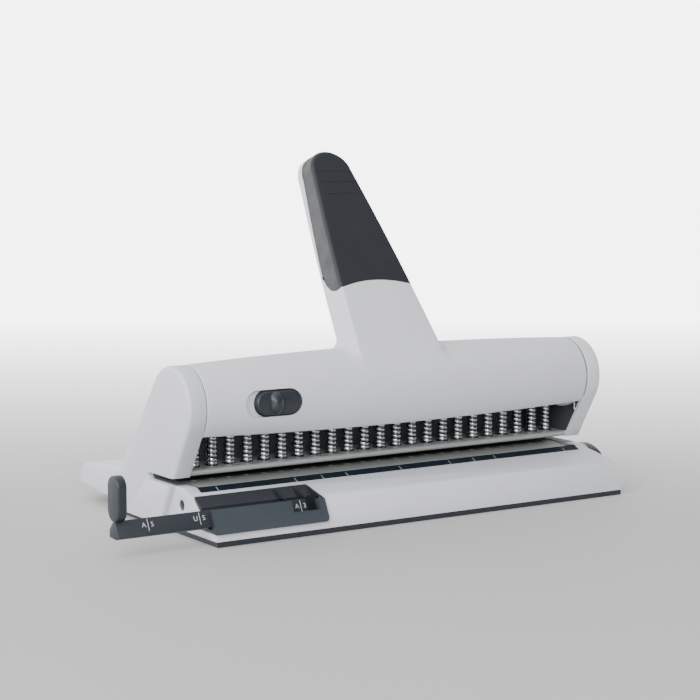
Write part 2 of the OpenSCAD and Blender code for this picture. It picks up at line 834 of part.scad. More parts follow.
// Space that the stop's housing takes out of the apron
module housing_outline() {
    polygon([wall_low, wall_high, flange_end, flange_end - [0, housing_wall],
        [back_wall_y[1], flange_low - housing_wall], [back_wall_y[1], floor_z[0]]]);
}

// Rectangle along the ruler's face, from corner a to corner b of its front wall's own frame
module on_front_wall(a, b) {
    translate(wall_at) rotate(-ruler_tilt) box2(a, b);
}

// Ruler's outline, wider by room all round
module ruler_outline(room) {
    translate(ruler_at) rotate(-ruler_tilt)
        box2([-room, -room], [ruler_t + room, ruler_w + room]);
}

// Dark trough that the ruler slides in, with a window over its marks
module stop_housing() {
    color(dark) difference() {
        union() {
            along_x(housing_x[0], housing_x[1]) intersection() {
                housing_outline();
                union() {
                    on_front_wall([0, -front_wall_down - front_wall_t], [front_wall_t, front_wall_up]);
                    box2([wall_low[0], floor_z[0]], [back_wall_y[1], floor_z[1]]);
                    box2([back_wall_y[0], floor_z[0]], [back_wall_y[1], flange_low]);
                    polygon([[back_wall_y[0], flange_low], flange_end, flange_end - [0, housing_wall],
                        [back_wall_y[0], flange_low - housing_wall]]);
                }
            }
            for (x = rib_x) along_x(x, x + rib_t)
                polygon([flange_end, [back_wall_y[0], flange_low], rib_foot]);
            along_x(housing_x[1] - housing_wall, housing_x[1]) housing_outline();
        }
        along_x(window_x[0], window_x[1])
            on_front_wall([-past, window_low], [front_wall_t + gap, front_wall_up + past]);
        along_x(housing_x[1] - housing_wall - past, housing_x[1] + past) ruler_outline(gap);
    }
}

// Leaf that presses on the ruler's back, so it stays where it is set
module ruler_spring() {
    color(bright) translate([leaf_x, back_wall_y[0], leaf_z[0]]) linear_extrude(leaf_z[1] - leaf_z[0])
        intersection() {
            difference() {
                circle(r = leaf_r);
                circle(r = leaf_r - leaf_t);
            }
            box2([-2 * leaf_r, -2 * leaf_r], [2 * leaf_r, 0]);
        }
}

// Ruler of the paper stop, with the block at its outer end
module stop_ruler() {
    block_rear = back_wall_y[0] - 2 * gap;
    color(dark) {
        along_x(ruler_x, ruler_x + ruler_len) ruler_outline(0);
        along_x(ruler_x, ruler_x + block_w) polygon([ruler_mid + ruler_up * gap,
            ruler_mid + ruler_up * (ruler_w - gap), [block_rear, ruler_at[1] + ruler_w / 3],
            [block_rear, floor_z[1] + 2 * gap]]);
    }
}

// Upright plate that the paper's edge is laid against, on its neck
module stop_paddle() {
    color(dark) along_x(ruler_x, ruler_x + paddle_t) difference() {
        union() {
            translate([paddle_y, paddle_z + paddle_h / 2]) rotate(90) capsule(paddle_h, paddle_w);
            polygon([ruler_top, ruler_rear_top, [ruler_rear_top[0], paddle_z + paddle_w / 2],
                [ruler_top[0], paddle_z + paddle_w / 2]]);
        }
        ruler_outline(0);
    }
}

// Trough under the dies, with a tall left end that can be pushed through the hole
module chip_tray() {
    color(dark) {
        along_x(tray_left, outer_half + gap) difference() {
            box2([tray_y[0], tray_z[0]], [tray_y[1], tray_z[1]]);
            box2([tray_y[0] + tray_wall, tray_z[0] + tray_wall], [tray_y[1] - tray_wall, 2 * tray_z[1]]);
        }
        along_x(tray_left, tray_left + tray_wall) {
            box2([tray_y[0], tray_z[0]], [tray_y[1], tray_z[1]]);
            box2(push_plate[0], push_plate[1]);
        }
    }
}

// Domed end of the chip tray, which the fingers pull
module tray_cap() {
    color(rubber) intersection() {
        translate([outer_half + gap, cap_at[0], cap_at[1]]) rotate([0, 90, 0]) rotate_extrude()
            polygon(concat([[0, 0], [cap_r, 0]],
                arc([cap_r - cap_edge, cap_t - cap_crown - cap_edge], cap_edge, 0, 80, 8),
                [[0, cap_t]]));
        translate([outer_half, cap_at[0] - 2 * cap_r, tray_z[0]]) cube([2 * cap_t, 4 * cap_r, 2 * cap_r]);
    }
}

base_plate();
foot_pads();
base_screws();
front_apron();
scale_strip();
left_cheek();
right_cheek();
rear_cover();
rear_shelf();
support_beam();
die_plate();
paper_backstop();
punch_guide();
back_plate();
guide_posts();
left_bush();
right_bush();
axle();
press_cams();
lever_drum();
drum_skirt();
lever_grip();
return_spring();
lock_guide();
lock_slider();
lock_bolt();
pressure_bar();
punch_pins();
punch_springs();
stop_housing();
ruler_spring();
stop_ruler();
stop_paddle();
chip_tray();
tray_cap();
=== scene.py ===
"""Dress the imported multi-hole punch for its picture.

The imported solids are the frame: X runs along the row of punches, Y to the rear and Z up. Sizes in
this file are in millimetres, and they become metres only when a point is put in its place. Each
sub-assembly is a class that models its own pieces, gives them a finish and seats them on a body.
"""

from __future__ import annotations

import json
import logging
import math
from contextlib import contextmanager
from dataclasses import dataclass
from enum import Enum
from typing import Any, Callable, Iterator, Sequence

import bpy
from mathutils import Matrix, Vector

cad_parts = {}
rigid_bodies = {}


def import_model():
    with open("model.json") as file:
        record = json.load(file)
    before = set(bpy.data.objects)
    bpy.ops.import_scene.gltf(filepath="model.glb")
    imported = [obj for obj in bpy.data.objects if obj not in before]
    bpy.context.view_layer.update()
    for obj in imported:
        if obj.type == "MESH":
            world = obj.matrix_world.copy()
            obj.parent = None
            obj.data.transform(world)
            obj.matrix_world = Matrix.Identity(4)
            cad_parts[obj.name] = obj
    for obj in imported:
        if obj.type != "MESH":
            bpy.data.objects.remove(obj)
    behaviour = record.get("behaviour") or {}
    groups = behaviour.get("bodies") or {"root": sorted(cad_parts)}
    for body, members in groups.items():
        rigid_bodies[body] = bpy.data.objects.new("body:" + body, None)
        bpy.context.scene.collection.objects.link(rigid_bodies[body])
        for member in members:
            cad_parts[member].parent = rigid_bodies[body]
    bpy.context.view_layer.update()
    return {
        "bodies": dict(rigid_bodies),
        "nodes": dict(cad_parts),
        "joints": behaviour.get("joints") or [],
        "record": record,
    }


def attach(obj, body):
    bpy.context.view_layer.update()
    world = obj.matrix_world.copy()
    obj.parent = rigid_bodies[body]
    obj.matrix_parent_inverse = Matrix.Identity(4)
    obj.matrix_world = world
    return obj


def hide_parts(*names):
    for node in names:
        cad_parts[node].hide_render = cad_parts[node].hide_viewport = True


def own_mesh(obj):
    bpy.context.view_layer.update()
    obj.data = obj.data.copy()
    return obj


LOG = logging.getLogger("punch")
MM = 0.001

Point2 = tuple[float, float]
Point3 = tuple[float, float, float]
Colour = tuple[float, float, float, float]


class Body(Enum):
    """Bodies that a piece can ride on."""

    BASE = "base"
    LEVER = "lever"
    LOCK = "lock"
    STOP = "stop"
    TRAY = "tray"


class Side(Enum):
    """Left and right end of the punch."""

    LEFT = -1
    RIGHT = 1


class Face(Enum):
    """Faces of the lever's arm."""

    BACK = "back"
    SIDE = "side"
    FRONT = "front"


Station = tuple[Face, float, float]


# Shader maths


class Value:
    """A shader socket for use in Python expressions, where each operation adds one Math node."""

    def __init__(self, graph: Graph, socket: bpy.types.NodeSocket) -> None:
        """Keep the graph and the socket."""
        self.graph = graph
        self.socket = socket

    def _math(self, operation: str, first: Any, second: Any = None) -> Value:
        """Add a Math node.

        Args:
            operation: name of the Math node's operation.
            first: value or number of its first socket.
            second: value or number of its second socket, if it has one.

        Returns:
            The node's result.
        """
        inputs = {0: first} if second is None else {0: first, 1: second}
        return self.graph.node("ShaderNodeMath", {"operation": operation}, inputs)

    def __add__(self, other: Any) -> Value:
        """Sum."""
        return self._math("ADD", self, other)

    __radd__ = __add__

    def __sub__(self, other: Any) -> Value:
        """Difference."""
        return self._math("SUBTRACT", self, other)

    def __rsub__(self, other: Any) -> Value:
        """Difference from a number."""
        return self._math("SUBTRACT", other, self)

    def __mul__(self, other: Any) -> Value:
        """Product."""
        return self._math("MULTIPLY", self, other)

    __rmul__ = __mul__

    def __lt__(self, other: Any) -> Value:
        """One where the value is below the other."""
        return self._math("LESS_THAN", self, other)

    def __abs__(self) -> Value:
        """Size without sign."""
        return self._math("ABSOLUTE", self)

    def highest(self, other: Any) -> Value:
        """Larger of two values."""
        return self._math("MAXIMUM", self, other)

    def spread(self, low: float, high: float, to_low: float = 0.0, to_high: float = 1.0) -> Value:
        """Carry one range over to another, clamped.

        Args:
            low: start of the range read.
            high: end of the range read.
            to_low: value given at the start.
            to_high: value given at the end.

        Returns:
            The carried value.
        """
        return self.graph.node(
            "ShaderNodeMapRange",
            {"clamp": True},
            {"Value": self, "From Min": low, "From Max": high, "To Min": to_low, "To Max": to_high},
        )


class Graph:
    """Node tree of one material."""

    def __init__(self, name: str) -> None:
        """Start a material with a Principled shader."""
        material = bpy.data.materials.new(name)
        self._start(material, "ShaderNodeBsdfPrincipled", "ShaderNodeOutputMaterial")

    def _start(self, owner: bpy.types.ID, shader: str, output: str) -> None:
        """Empty the owner's node tree and link a shader to an output in it.

        Args:
            owner: the material or world.
            shader: type of the shader's node.
            output: type of the output's node.
        """
        self.owner = owner
        owner.use_nodes = True
        self.tree = owner.node_tree
        self.tree.nodes.clear()
        self.shader = self.tree.nodes.new(shader)
        end = self.tree.nodes.new(output)
        self.tree.links.new(self.shader.outputs[0], end.inputs[0])
        self.coords = self.tree.nodes.new("ShaderNodeTexCoord")

    def _feed(self, socket: bpy.types.NodeSocket, value: Any) -> None:
        """Link a value to a socket, or set a number, vector or colour on it.

        Args:
            socket: the socket that is fed.
            value: what it is fed with.
        """
        if isinstance(value, Value):
            self.tree.links.new(value.socket, socket)
        else:
            socket.default_value = value

    def node(
        self, kind: str, settings: dict[str, Any], sockets: dict[Any, Any], out: Any = 0
    ) -> Value:
        """Add any node.

        Args:
            kind: the node's type.
            settings: properties that are set first.
            sockets: values, numbers or links by socket name or number.
            out: name or number of the output that is wanted.

        Returns:
            The wanted output.
        """
        node = self.tree.nodes.new(kind)
        for name, value in settings.items():
            setattr(node, name, value)
        for name, value in sockets.items():
            self._feed(node.inputs[name], value)
        return Value(self, node.outputs[out])

    def place(self) -> Value:
        """Object coordinates, in metres."""
        return Value(self, self.coords.outputs["Object"])

    def axis(self, name: str) -> Value:
        """One Object coordinate in millimetres, "X", "Y" or "Z"."""
        return self.node("ShaderNodeSeparateXYZ", {}, {0: self.place()}, name) * (1 / MM)

    def stretched(self, scale: Point3 = (1.0, 1.0, 1.0)) -> Value:
        """Object coordinates in millimetres, scaled along each axis."""
        size = tuple(s / MM for s in scale)
        return self.node("ShaderNodeMapping", {}, {"Vector": self.place(), "Scale": size})

    def noise(self, where: Value, scale: float, detail: float = 2.0, rough: float = 0.5) -> Value:
        """Noise between 0 and 1 over a place in millimetres.

        Args:
            where: the coordinates.
            scale: waves per millimetre.
            detail: number of finer layers.
            rough: strength of the finer layers.

        Returns:
            The noise.
        """
        return self.node(
            "ShaderNodeTexNoise",
            {"noise_dimensions": "3D"},
            {"Vector": where, "Scale": scale, "Detail": detail, "Roughness": rough},
            "Fac",
        )

    def mix(self, amount: Any, first: Any, second: Any) -> Value:
        """Mix two colours.

        Args:
            amount: share of the second colour.
            first: colour at 0.
            second: colour at 1.

        Returns:
            The mixed colour.
        """
        node = self.tree.nodes.new("ShaderNodeMix")
        node.data_type = "RGBA"
        self._feed(node.inputs["Factor"], amount)
        self._feed(node.inputs[6], first)
        self._feed(node.inputs[7], second)
        return Value(self, node.outputs[2])

    def bump(self, height: Value, strength: float, distance: float) -> Value:
        """Bump from a height.

        Args:
            height: height between 0 and 1.
            strength: share of the effect.
            distance: real height of one, in millimetres.

        Returns:
            The bent normal.
        """
        return self.node(
            "ShaderNodeBump",
            {},
            {"Height": height, "Strength": strength, "Distance": distance * MM},
            "Normal",
        )

    def surface(self, **sockets: Any) -> bpy.types.Material:
        """Feed the shader's sockets.

        Args:
            **sockets: values by socket name, with _ for a space.

        Returns:
            The material, or the world of a sky.
        """
        names = {s.name.lower().replace(" ", "_"): s for s in self.shader.inputs}
        for name, value in sockets.items():
            self._feed(names[name], value)
        return self.owner


class Sky(Graph):
    """Node tree of the studio's surroundings."""

    def __init__(self, name: str) -> None:
        """Start a world with a Background shader."""
        self._start(bpy.data.worlds.new(name), "ShaderNodeBackground", "ShaderNodeOutputWorld")

    def toward(self, aim: Point3) -> Value:
        """How far a direction leans towards an aim.

        Args:
            aim: the direction that counts as 1.

        Returns:
            Value from -1 to 1.
        """
        way = Value(self, self.coords.outputs["Generated"])
        operation = {"operation": "DOT_PRODUCT"}
        return self.node("ShaderNodeVectorMath", operation, {0: way, 1: aim}, "Value")


def linear(red: float, green: float, blue: float) -> Colour:
    """Linear colour of screen values.

    Args:
        red: red from 0 to 255.
        green: green from 0 to 255.
        blue: blue from 0 to 255.

    Returns:
        The colour, not see-through.
    """

    def one(value: float) -> float:
        """One channel."""
        share = value / 255.0
        return share / 12.92 if share <= 0.04045 else ((share + 0.055) / 1.055) ** 2.4

    return (one(red), one(green), one(blue), 1.0)


def shade(colour: Colour, amount: float) -> Colour:
    """The colour made lighter or darker by a factor."""
    return (colour[0] * amount, colour[1] * amount, colour[2] * amount, 1.0)


# Finishes


@dataclass(frozen=True)
class MouldedPlastic:
    """Plastic from a spark-eroded mould: fine grain, faint clouds in colour and gloss."""

    name: str
    colour: Colour
    roughness: float = 0.45
    grain: float = 2.6
    depth: float = 0.02
    clouds: float = 0.04
    coat: float = 0.0

    def material(self) -> bpy.types.Material:
        """Build the material.

        Returns:
            The finish as a material.
        """
        g = Graph(self.name)
        where = g.stretched()
        cloud = g.noise(where, 0.035, 3.0)
        grain = g.noise(where, self.grain, 4.0, 0.6)
        handling = g.noise(where, 0.16, 4.0, 0.65).spread(0.5, 0.75)
        dull, pale = (shade(self.colour, 1 + sign * self.clouds) for sign in (-1, 1))
        base = g.mix(cloud, dull, pale)
        base = g.mix(grain.spread(0.62, 0.8) * 0.18, base, shade(self.colour, 0.9))
        gloss = cloud.spread(0.3, 0.7, self.roughness - 0.04, self.roughness + 0.04)
        return g.surface(
            base_color=base,
            roughness=gloss - handling * 0.05 + (grain - 0.5) * 0.12,
            normal=g.bump(grain, 0.35, self.depth),
            coat_weight=self.coat,
            coat_roughness=0.08,
        )


@dataclass(frozen=True)
class SoftGrip:
    """Matt rubber with a dry, dusty sheen and a skin of fine pores."""

    name: str
    colour: Colour
    roughness: float = 0.6
    dust: float = 0.35
    shine: float = 0.3

    def material(self) -> bpy.types.Material:
        """Build the material.

        Returns:
            The finish as a material.
        """
        g = Graph(self.name)
        where = g.stretched()
        pores = g.node(
            "ShaderNodeTexVoronoi", {"feature": "F1"}, {"Vector": where, "Scale": 2.2}, "Distance"
        )
        dust = g.noise(where, 0.09, 5.0, 0.6)
        base = g.mix(dust.spread(0.45, 0.8) * self.dust, self.colour, shade(self.colour, 1.7))
        base = g.mix(pores.spread(0.0, 0.25, 0.35, 0.0), base, shade(self.colour, 0.6))
        return g.surface(
            base_color=base,
            roughness=dust.spread(0.3, 0.7, self.roughness - 0.06, self.roughness + 0.08),
            normal=g.bump(pores, 0.25, 0.05),
            specular_ior_level=self.shine,
        )


@dataclass(frozen=True)
class BrushedSteel:
    """Steel with fine draw lines along the row and a little wear."""

    name: str
    colour: Colour
    roughness: float = 0.36
    lines: float = 6.0
    stretch: Point3 = (0.012, 1.0, 1.0)
    metal: float = 1.0
    # Optional Y span in mm over which painted shade darkens the colour almost to black.
    painted_shade_y: Point2 | None = None

    def material(self) -> bpy.types.Material:
        """Build the material.

        Returns:
            The finish as a material.
        """
        g = Graph(self.name)
        streak = g.noise(g.stretched(self.stretch), self.lines, 4.0, 0.7)
        cloud = g.noise(g.stretched(), 0.08, 3.0)
        base = g.mix(streak.spread(0.3, 0.7), shade(self.colour, 0.86), shade(self.colour, 1.1))
        base = g.mix(cloud.spread(0.55, 0.8) * 0.25, base, shade(self.colour, 0.72))
        # Painted shade: towards the rear the base colour fades almost to black, standing in for the
        # shade deep in the paper slot.
        if self.painted_shade_y:
            base = g.mix(g.axis("Y").spread(*self.painted_shade_y) * 0.9, base, shade(self.colour, 0.04))
        return g.surface(
            base_color=base,
            metallic=self.metal,
            roughness=streak.spread(0.25, 0.75, self.roughness - 0.1, self.roughness + 0.1),
            normal=g.bump(streak, 0.12, 0.03),
        )


@dataclass(frozen=True)
class BrightWire:
    """Plated wire and pins: bright, with faint draw marks and small dull spots."""

    name: str
    colour: Colour
    roughness: float = 0.16

    def material(self) -> bpy.types.Material:
        """Build the material.

        Returns:
            The finish as a material.
        """
        g = Graph(self.name)
        where = g.stretched()
        spots = g.noise(where, 0.9, 5.0, 0.6)
        base = g.mix(spots.spread(0.5, 0.8) * 0.4, self.colour, shade(self.colour, 0.7))
        return g.surface(
            base_color=base,
            metallic=1.0,
            roughness=spots.spread(0.35, 0.75, self.roughness - 0.05, self.roughness + 0.12),
            normal=g.bump(g.noise(where, 5.0, 2.0), 0.08, 0.02),
        )


@dataclass(frozen=True)
class PrintedStrip:
    """Dark strip with pale marks printed across it."""

    name: str
    colour: Colour
    ink: Colour
    marks: tuple[float, ...]
    line: float = 0.42
    rear: float = -21.4

    def material(self) -> bpy.types.Material:
        """Build the material.

        Returns:
            The finish as a material.
        """
        g = Graph(self.name)
        across, along = g.axis("X"), g.axis("Y")
        mask: Value | None = None
        for place in self.marks:
            near = abs(across - place) < self.line / 2
            mask = near if mask is None else mask.highest(near)
        where = g.stretched()
        worn = g.noise(where, 1.4, 4.0, 0.6).spread(0.25, 0.5)
        ink = mask * (along < self.rear) * worn * 0.75
        satin = g.noise(where, 0.12, 3.0)
        ground = g.mix(satin, shade(self.colour, 0.8), shade(self.colour, 1.3))
        return g.surface(
            base_color=g.mix(ink, ground, self.ink),
            roughness=satin.spread(0.3, 0.7, 0.42, 0.54),
            specular_ior_level=0.3,
            normal=g.bump(g.noise(where, 3.0, 3.0), 0.12, 0.02),
        )


class Finishes:
    """All finishes of the punch, each made once."""

    def __init__(self) -> None:
        """Make the materials."""
        self.light = MouldedPlastic("light_plastic", linear(199, 200, 207), 0.42).material()
        self.dark = MouldedPlastic("dark_plastic", linear(54, 60, 67), 0.42, clouds=0.08).material()
        self.gloss = MouldedPlastic(
            "gloss_dark", linear(15, 18, 23), 0.36, depth=0.006, clouds=0.1, coat=0.25
        ).material()
        self.plate = MouldedPlastic("plate_plastic", linear(33, 37, 43), 0.5, clouds=0.1).material()
        self.grip = SoftGrip("grip_rubber", linear(17, 21, 29), 0.5, 0.3, 0.5).material()
        self.slider = SoftGrip("slider_rubber", linear(36, 41, 48), 0.34, 0.3, 0.5).material()
        self.foot = SoftGrip("foot_rubber", linear(24, 24, 25), 0.7).material()
        self.steel = BrushedSteel("drawn_steel", linear(172, 176, 175)).material()
        self.rail = BrushedSteel("dull_zinc", linear(176, 180, 179), 0.5, metal=0.45).material()
        # The table's rear, from Y -2 to 5 mm, gets painted shade that darkens it almost to black.
        self.table = BrushedSteel(
            "table_zinc", linear(150, 153, 152), 0.55, metal=0.15, painted_shade_y=(-2.0, 5.0)
        ).material()
        self.black = MouldedPlastic("black_steel", linear(70, 74, 80), 0.5, grain=1.4).material()
        # These two greys are painted shade: sheets laid where light plastic is in shade, the
        # lighter one in the slots and hole, the darker one inside the cheeks.
        self.inside = MouldedPlastic("inside_grey", linear(98, 102, 104), 0.5).material()
        self.deep_shade_paint = MouldedPlastic("lining_grey", linear(59, 62, 64), 0.5).material()
        self.stop = MouldedPlastic("stop_plastic", linear(34, 39, 46), 0.4, clouds=0.08).material()
        # Painted shade: a darker copy of the dark plastic for the trough's inner faces.
        self.deep = MouldedPlastic("trough_inside", linear(32, 36, 42), 0.45, clouds=0.1).material()
        # shadow_black is painted shade: black for gaps, recesses and the paper backstop, where
        # shade falls.
        self.gap = MouldedPlastic("shadow_black", linear(12, 13, 15), 0.6).material()
        # Punch pins: steel given a dark colour as painted shade between the springs.
        self.pin = BrightWire("hardened_pin", linear(64, 67, 70), 0.3).material()
        self.bright = BrightWire("bright_wire", linear(206, 210, 211), 0.09).material()
        self.bronze = BrightWire("sintered_bronze", linear(178, 142, 88), 0.4).material()
        self.ink = MouldedPlastic("pale_ink", linear(178, 183, 187), 0.5, depth=0.004).material()
        self.strip = PrintedStrip(
            "printed_strip",
            linear(14, 26, 35),
            linear(206, 212, 216),
            (-128.9, -75.6, -56.8, -39.4, 0.0, 37.4, 56.2, 72.8, 128.9),
        ).material()


# Modelling bench


class Bench:
    """Tools that start from a primitive and work on it with operators."""

    @staticmethod
    def clear() -> None:
        """Leave edit mode and deselect everything."""
        if bpy.context.object and bpy.context.object.mode != "OBJECT":
            bpy.ops.object.mode_set(mode="OBJECT")
        bpy.ops.object.select_all(action="DESELECT")

    @staticmethod
    def take(obj: bpy.types.Object) -> None:
        """Make one object the only selected and active one.

        Args:
            obj: the object.
        """
        Bench.clear()
        obj.select_set(True)
        bpy.context.view_layer.objects.active = obj

    @staticmethod
    @contextmanager
    def editing(obj: bpy.types.Object) -> Iterator[None]:
        """Edit a piece with all of it selected, and leave edit mode at the end.

        Args:
            obj: the piece.

        Yields:
            Nothing, while the piece is in edit mode.
        """
        Bench.take(obj)
        bpy.ops.object.mode_set(mode="EDIT")
        bpy.ops.mesh.select_all(action="SELECT")
        yield
        bpy.ops.object.mode_set(mode="OBJECT")

    @staticmethod
    def tidy(obj: bpy.types.Object, merge: float = 0.002) -> None:
        """Merge points that lie together, and turn the faces outwards.

        Args:
            obj: the piece.
            merge: distance in millimetres up to which points are merged.
        """
        with Bench.editing(obj):
            bpy.ops.mesh.remove_doubles(threshold=merge * MM)
            bpy.ops.mesh.normals_make_consistent(inside=False)

    @staticmethod
    def close(obj: bpy.types.Object) -> None:
        """Fill every open rim of a mesh with one face.

        Args:
            obj: the piece.
        """
        with Bench.editing(obj):
            bpy.ops.mesh.select_mode(type="EDGE")
            bpy.ops.mesh.select_all(action="DESELECT")
            bpy.ops.mesh.select_non_manifold(
                extend=False, use_wire=False, use_boundary=True, use_multi_face=False,
                use_non_contiguous=False, use_verts=False,
            )
            bpy.ops.mesh.edge_face_add()
            bpy.ops.mesh.select_all(action="SELECT")
            bpy.ops.mesh.normals_make_consistent(inside=False)

    @staticmethod
    def sheet(
        name: str, columns: int, rows: int, place: Callable[[float, float], Sequence[float]]
    ) -> bpy.types.Object:
        """Add a grid and put each of its points by a rule.

        Args:
            name: the piece's name.
            columns: steps along the first direction.
            rows: steps along the second direction.
            place: rule from two shares between 0 and 1 to a point in millimetres.

        Returns:
            The new piece.
        """
        Bench.clear()
        bpy.ops.mesh.primitive_grid_add(x_subdivisions=columns, y_subdivisions=rows, size=2.0)
        obj = bpy.context.object
        obj.name = obj.data.name = name
        for vertex in obj.data.vertices:
            u, v = (vertex.co.x + 1) / 2, (vertex.co.y + 1) / 2
            vertex.co = Vector(place(u, v)) * MM
        return obj

    @staticmethod
    def prism(name: str, outline: Sequence[Point3], lift: Point3) -> bpy.types.Object:
        """Fill an outline and draw it out.

        Args:
            name: the piece's name.
            outline: corners in order, in millimetres.
            lift: way that the outline is drawn out, in millimetres.

        Returns:
            The new piece.
        """
        Bench.clear()
        bpy.ops.mesh.primitive_circle_add(vertices=len(outline), fill_type="NGON")
        obj = bpy.context.object
        obj.name = obj.data.name = name
        for vertex, corner in zip(obj.data.vertices, outline):
            vertex.co = Vector(corner) * MM
        way = tuple(c * MM for c in lift)
        with Bench.editing(obj):
            bpy.ops.mesh.extrude_region_move(TRANSFORM_OT_translate={"value": way})
            bpy.ops.mesh.select_all(action="SELECT")
            bpy.ops.mesh.normals_make_consistent(inside=False)
        return obj

    @staticmethod
    def along(name: str, outline: Sequence[Point2], x0: float, x1: float) -> bpy.types.Object:
        """Draw an outline in Y and Z out along X from x0 to x1."""
        return Bench.prism(name, [(x0, y, z) for y, z in outline], (x1 - x0, 0.0, 0.0))

    @staticmethod
    def tube(
        name: str, path: Sequence[Vector], radius: float, sides: int = 10, tall: float = 1.0
    ) -> bpy.types.Object:
        """Round wire along a path, with closed ends.

        Args:
            name: the piece's name.
            path: points in millimetres.
            radius: radius of the wire in millimetres.
            sides: sides of the wire.
            tall: how much taller than wide the wire is.

        Returns:
            The new piece.
        """
        frames: list[tuple[Vector, Vector]] = []
        normal = Vector((0.31, 0.57, 0.76))
        for i in range(len(path)):
            ahead = path[min(i + 1, len(path) - 1)] - path[max(i - 1, 0)]
            ahead.normalize()
            normal = (normal - ahead * normal.dot(ahead)).normalized()
            frames.append((normal.copy(), ahead.cross(normal)))

        def place(u: float, v: float) -> Vector:
            """Point on the wire's skin.

            Args:
                u: share along the wire.
                v: share round it.

            Returns:
                The point, in millimetres.
            """
            i = round(u * (len(path) - 1))
            turn = 2 * math.pi * v
            first, second = frames[i]
            out = (first * math.cos(turn) + second * math.sin(turn)) * radius
            return path[i] + Vector((out.x, out.y, out.z * tall))

        obj = Bench.sheet(name, len(path) - 1, sides, place)
        Bench.tidy(obj)
        Bench.close(obj)
        return obj

    @staticmethod
    def apply(obj: bpy.types.Object, kind: str, **settings: Any) -> None:
        """Add a modifier, set it and apply it.

        Args:
            obj: the piece.
            kind: type of the modifier.
            **settings: its properties.
        """
        Bench.take(obj)
        modifier = obj.modifiers.new(kind.title(), kind)
        for name, value in settings.items():
            setattr(modifier, name, value)
        bpy.ops.object.modifier_apply(modifier=modifier.name)

    @staticmethod
    def round_edges(
        obj: bpy.types.Object, width: float, steps: int = 3, angle: float = 35.0
    ) -> None:
        """Round every edge sharper than an angle.

        Args:
            obj: the piece.
            width: width of the rounding in millimetres.
            steps: faces across the rounding.
            angle: least angle between two faces, in degrees.
        """
        Bench.apply(
            obj, "BEVEL", width=width * MM, segments=steps, limit_method="ANGLE",
            angle_limit=math.radians(angle), use_clamp_overlap=True, miter_outer="MITER_ARC",
        )

    @staticmethod
    def cut(obj: bpy.types.Object, tool: bpy.types.Object) -> None:
        """Take a tool's shape out of a piece and drop the tool."""
        Bench.apply(obj, "BOOLEAN", operation="DIFFERENCE", solver="EXACT", object=tool)
        bpy.data.objects.remove(tool, do_unlink=True)

    @staticmethod
    def join(first: bpy.types.Object, others: Sequence[bpy.types.Object]) -> bpy.types.Object:
        """Join pieces into the first one.

        Args:
            first: piece that takes up the others.
            others: pieces that are taken up.

        Returns:
            The first piece.
        """
        Bench.take(first)
        for other in others:
            other.select_set(True)
        if others:
            bpy.ops.object.join()
        return first

    @staticmethod
    def row(obj: bpy.types.Object, shifts: Sequence[Point3]) -> bpy.types.Object:
        """Copy a piece, with its mesh, and join the copies.

        Args:
            obj: the piece, which is dropped.
            shifts: place of each copy, in millimetres.

        Returns:
            The joined row.
        """
        copies = []
        for shift in shifts:
            copy = obj.copy()
            copy.data = obj.data.copy()
            copy.data.transform(Matrix.Translation(Vector(shift) * MM))
            bpy.context.collection.objects.link(copy)
            copies.append(copy)
        bpy.data.objects.remove(obj, do_unlink=True)
        return Bench.join(copies[0], copies[1:])

    @staticmethod
    def hand_over(
        obj: bpy.types.Object, name: str, body: Body, material: bpy.types.Material, slot: str,
        nodes: Sequence[str] = (), angle: float = 32.0,
    ) -> None:
        """Shade, dress and seat a finished piece.

        Args:
            obj: the piece.
            name: its final name.
            body: body that it rides on.
            material: its finish.
            slot: slot of the record that the finish belongs to; not used.
            nodes: solids that it stands for.
            angle: angle in degrees over which an edge stays sharp.
        """
        obj.name = obj.data.name = name
        Bench.take(obj)
        bpy.ops.object.shade_smooth_by_angle(angle=math.radians(angle))
        obj.data.materials.clear()
        obj.data.materials.append(material)
        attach(obj, body.value)
        if nodes:
            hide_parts(*nodes)
        LOG.info("%s: %d faces on %s", name, len(obj.data.polygons), body.value)


# Shapes that several sub-assemblies share


def arc(centre: Point2, radius: float, start: float, end: float, steps: int) -> list[Point2]:
    """Points of an arc, with angles in degrees."""
    angles = [math.radians(start + (end - start) * i / steps) for i in range(steps + 1)]
    return [(centre[0] + radius * math.cos(a), centre[1] + radius * math.sin(a)) for a in angles]


def circle(centre: Point2, radius: float, corners: int = 32) -> list[Point2]:
    """Corners of a full circle."""
    return arc(centre, radius, 0, 360 - 360 / corners, corners - 1)


def rectangle(y0: float, z0: float, y1: float, z1: float) -> list[Point2]:
    """Corners of an upright rectangle."""
    return [(y0, z0), (y1, z0), (y1, z1), (y0, z1)]


def between(start: Point2, end: Point2, shares: Sequence[float]) -> list[Point2]:
    """Points on the line from a start to an end, at shares between 0 and 1."""
    dy, dz = end[0] - start[0], end[1] - start[1]
    return [(start[0] + dy * t, start[1] + dz * t) for t in shares]


def thread(points: Sequence[Vector], steps: Sequence[int]) -> list[Vector]:
    """Smooth curve through all points of a path.

    Args:
        points: the path.
        steps: pieces of the curve between each point and the next.

    Returns:
        The finer path.
    """
    path: list[Vector] = []
    for i, count in enumerate(steps):
        a, b = points[max(i - 1, 0)], points[i]
        c, d = points[i + 1], points[min(i + 2, len(points) - 1)]
        for k in range(count):
            t = k / count
            bend = (2 * a - 5 * b + 4 * c - d) * t * t + (3 * b - a - 3 * c + d) * t * t * t
            path.append(0.5 * (2 * b + (c - a) * t + bend))
    return path + [points[-1]]


def capsule(width: float, height: float, steps: int = 20) -> list[Point2]:
    """Outline of a capsule that lies along its first direction, centred."""
    reach, radius = (width - height) / 2, height / 2
    return arc((reach, 0), radius, -90, 90, steps) + arc((-reach, 0), radius, 90, 270, steps)


def smooth(share: float) -> float:
    """Ease a share between 0 and 1."""
    share = min(max(share, 0.0), 1.0)
    return share * share * (3 - 2 * share)


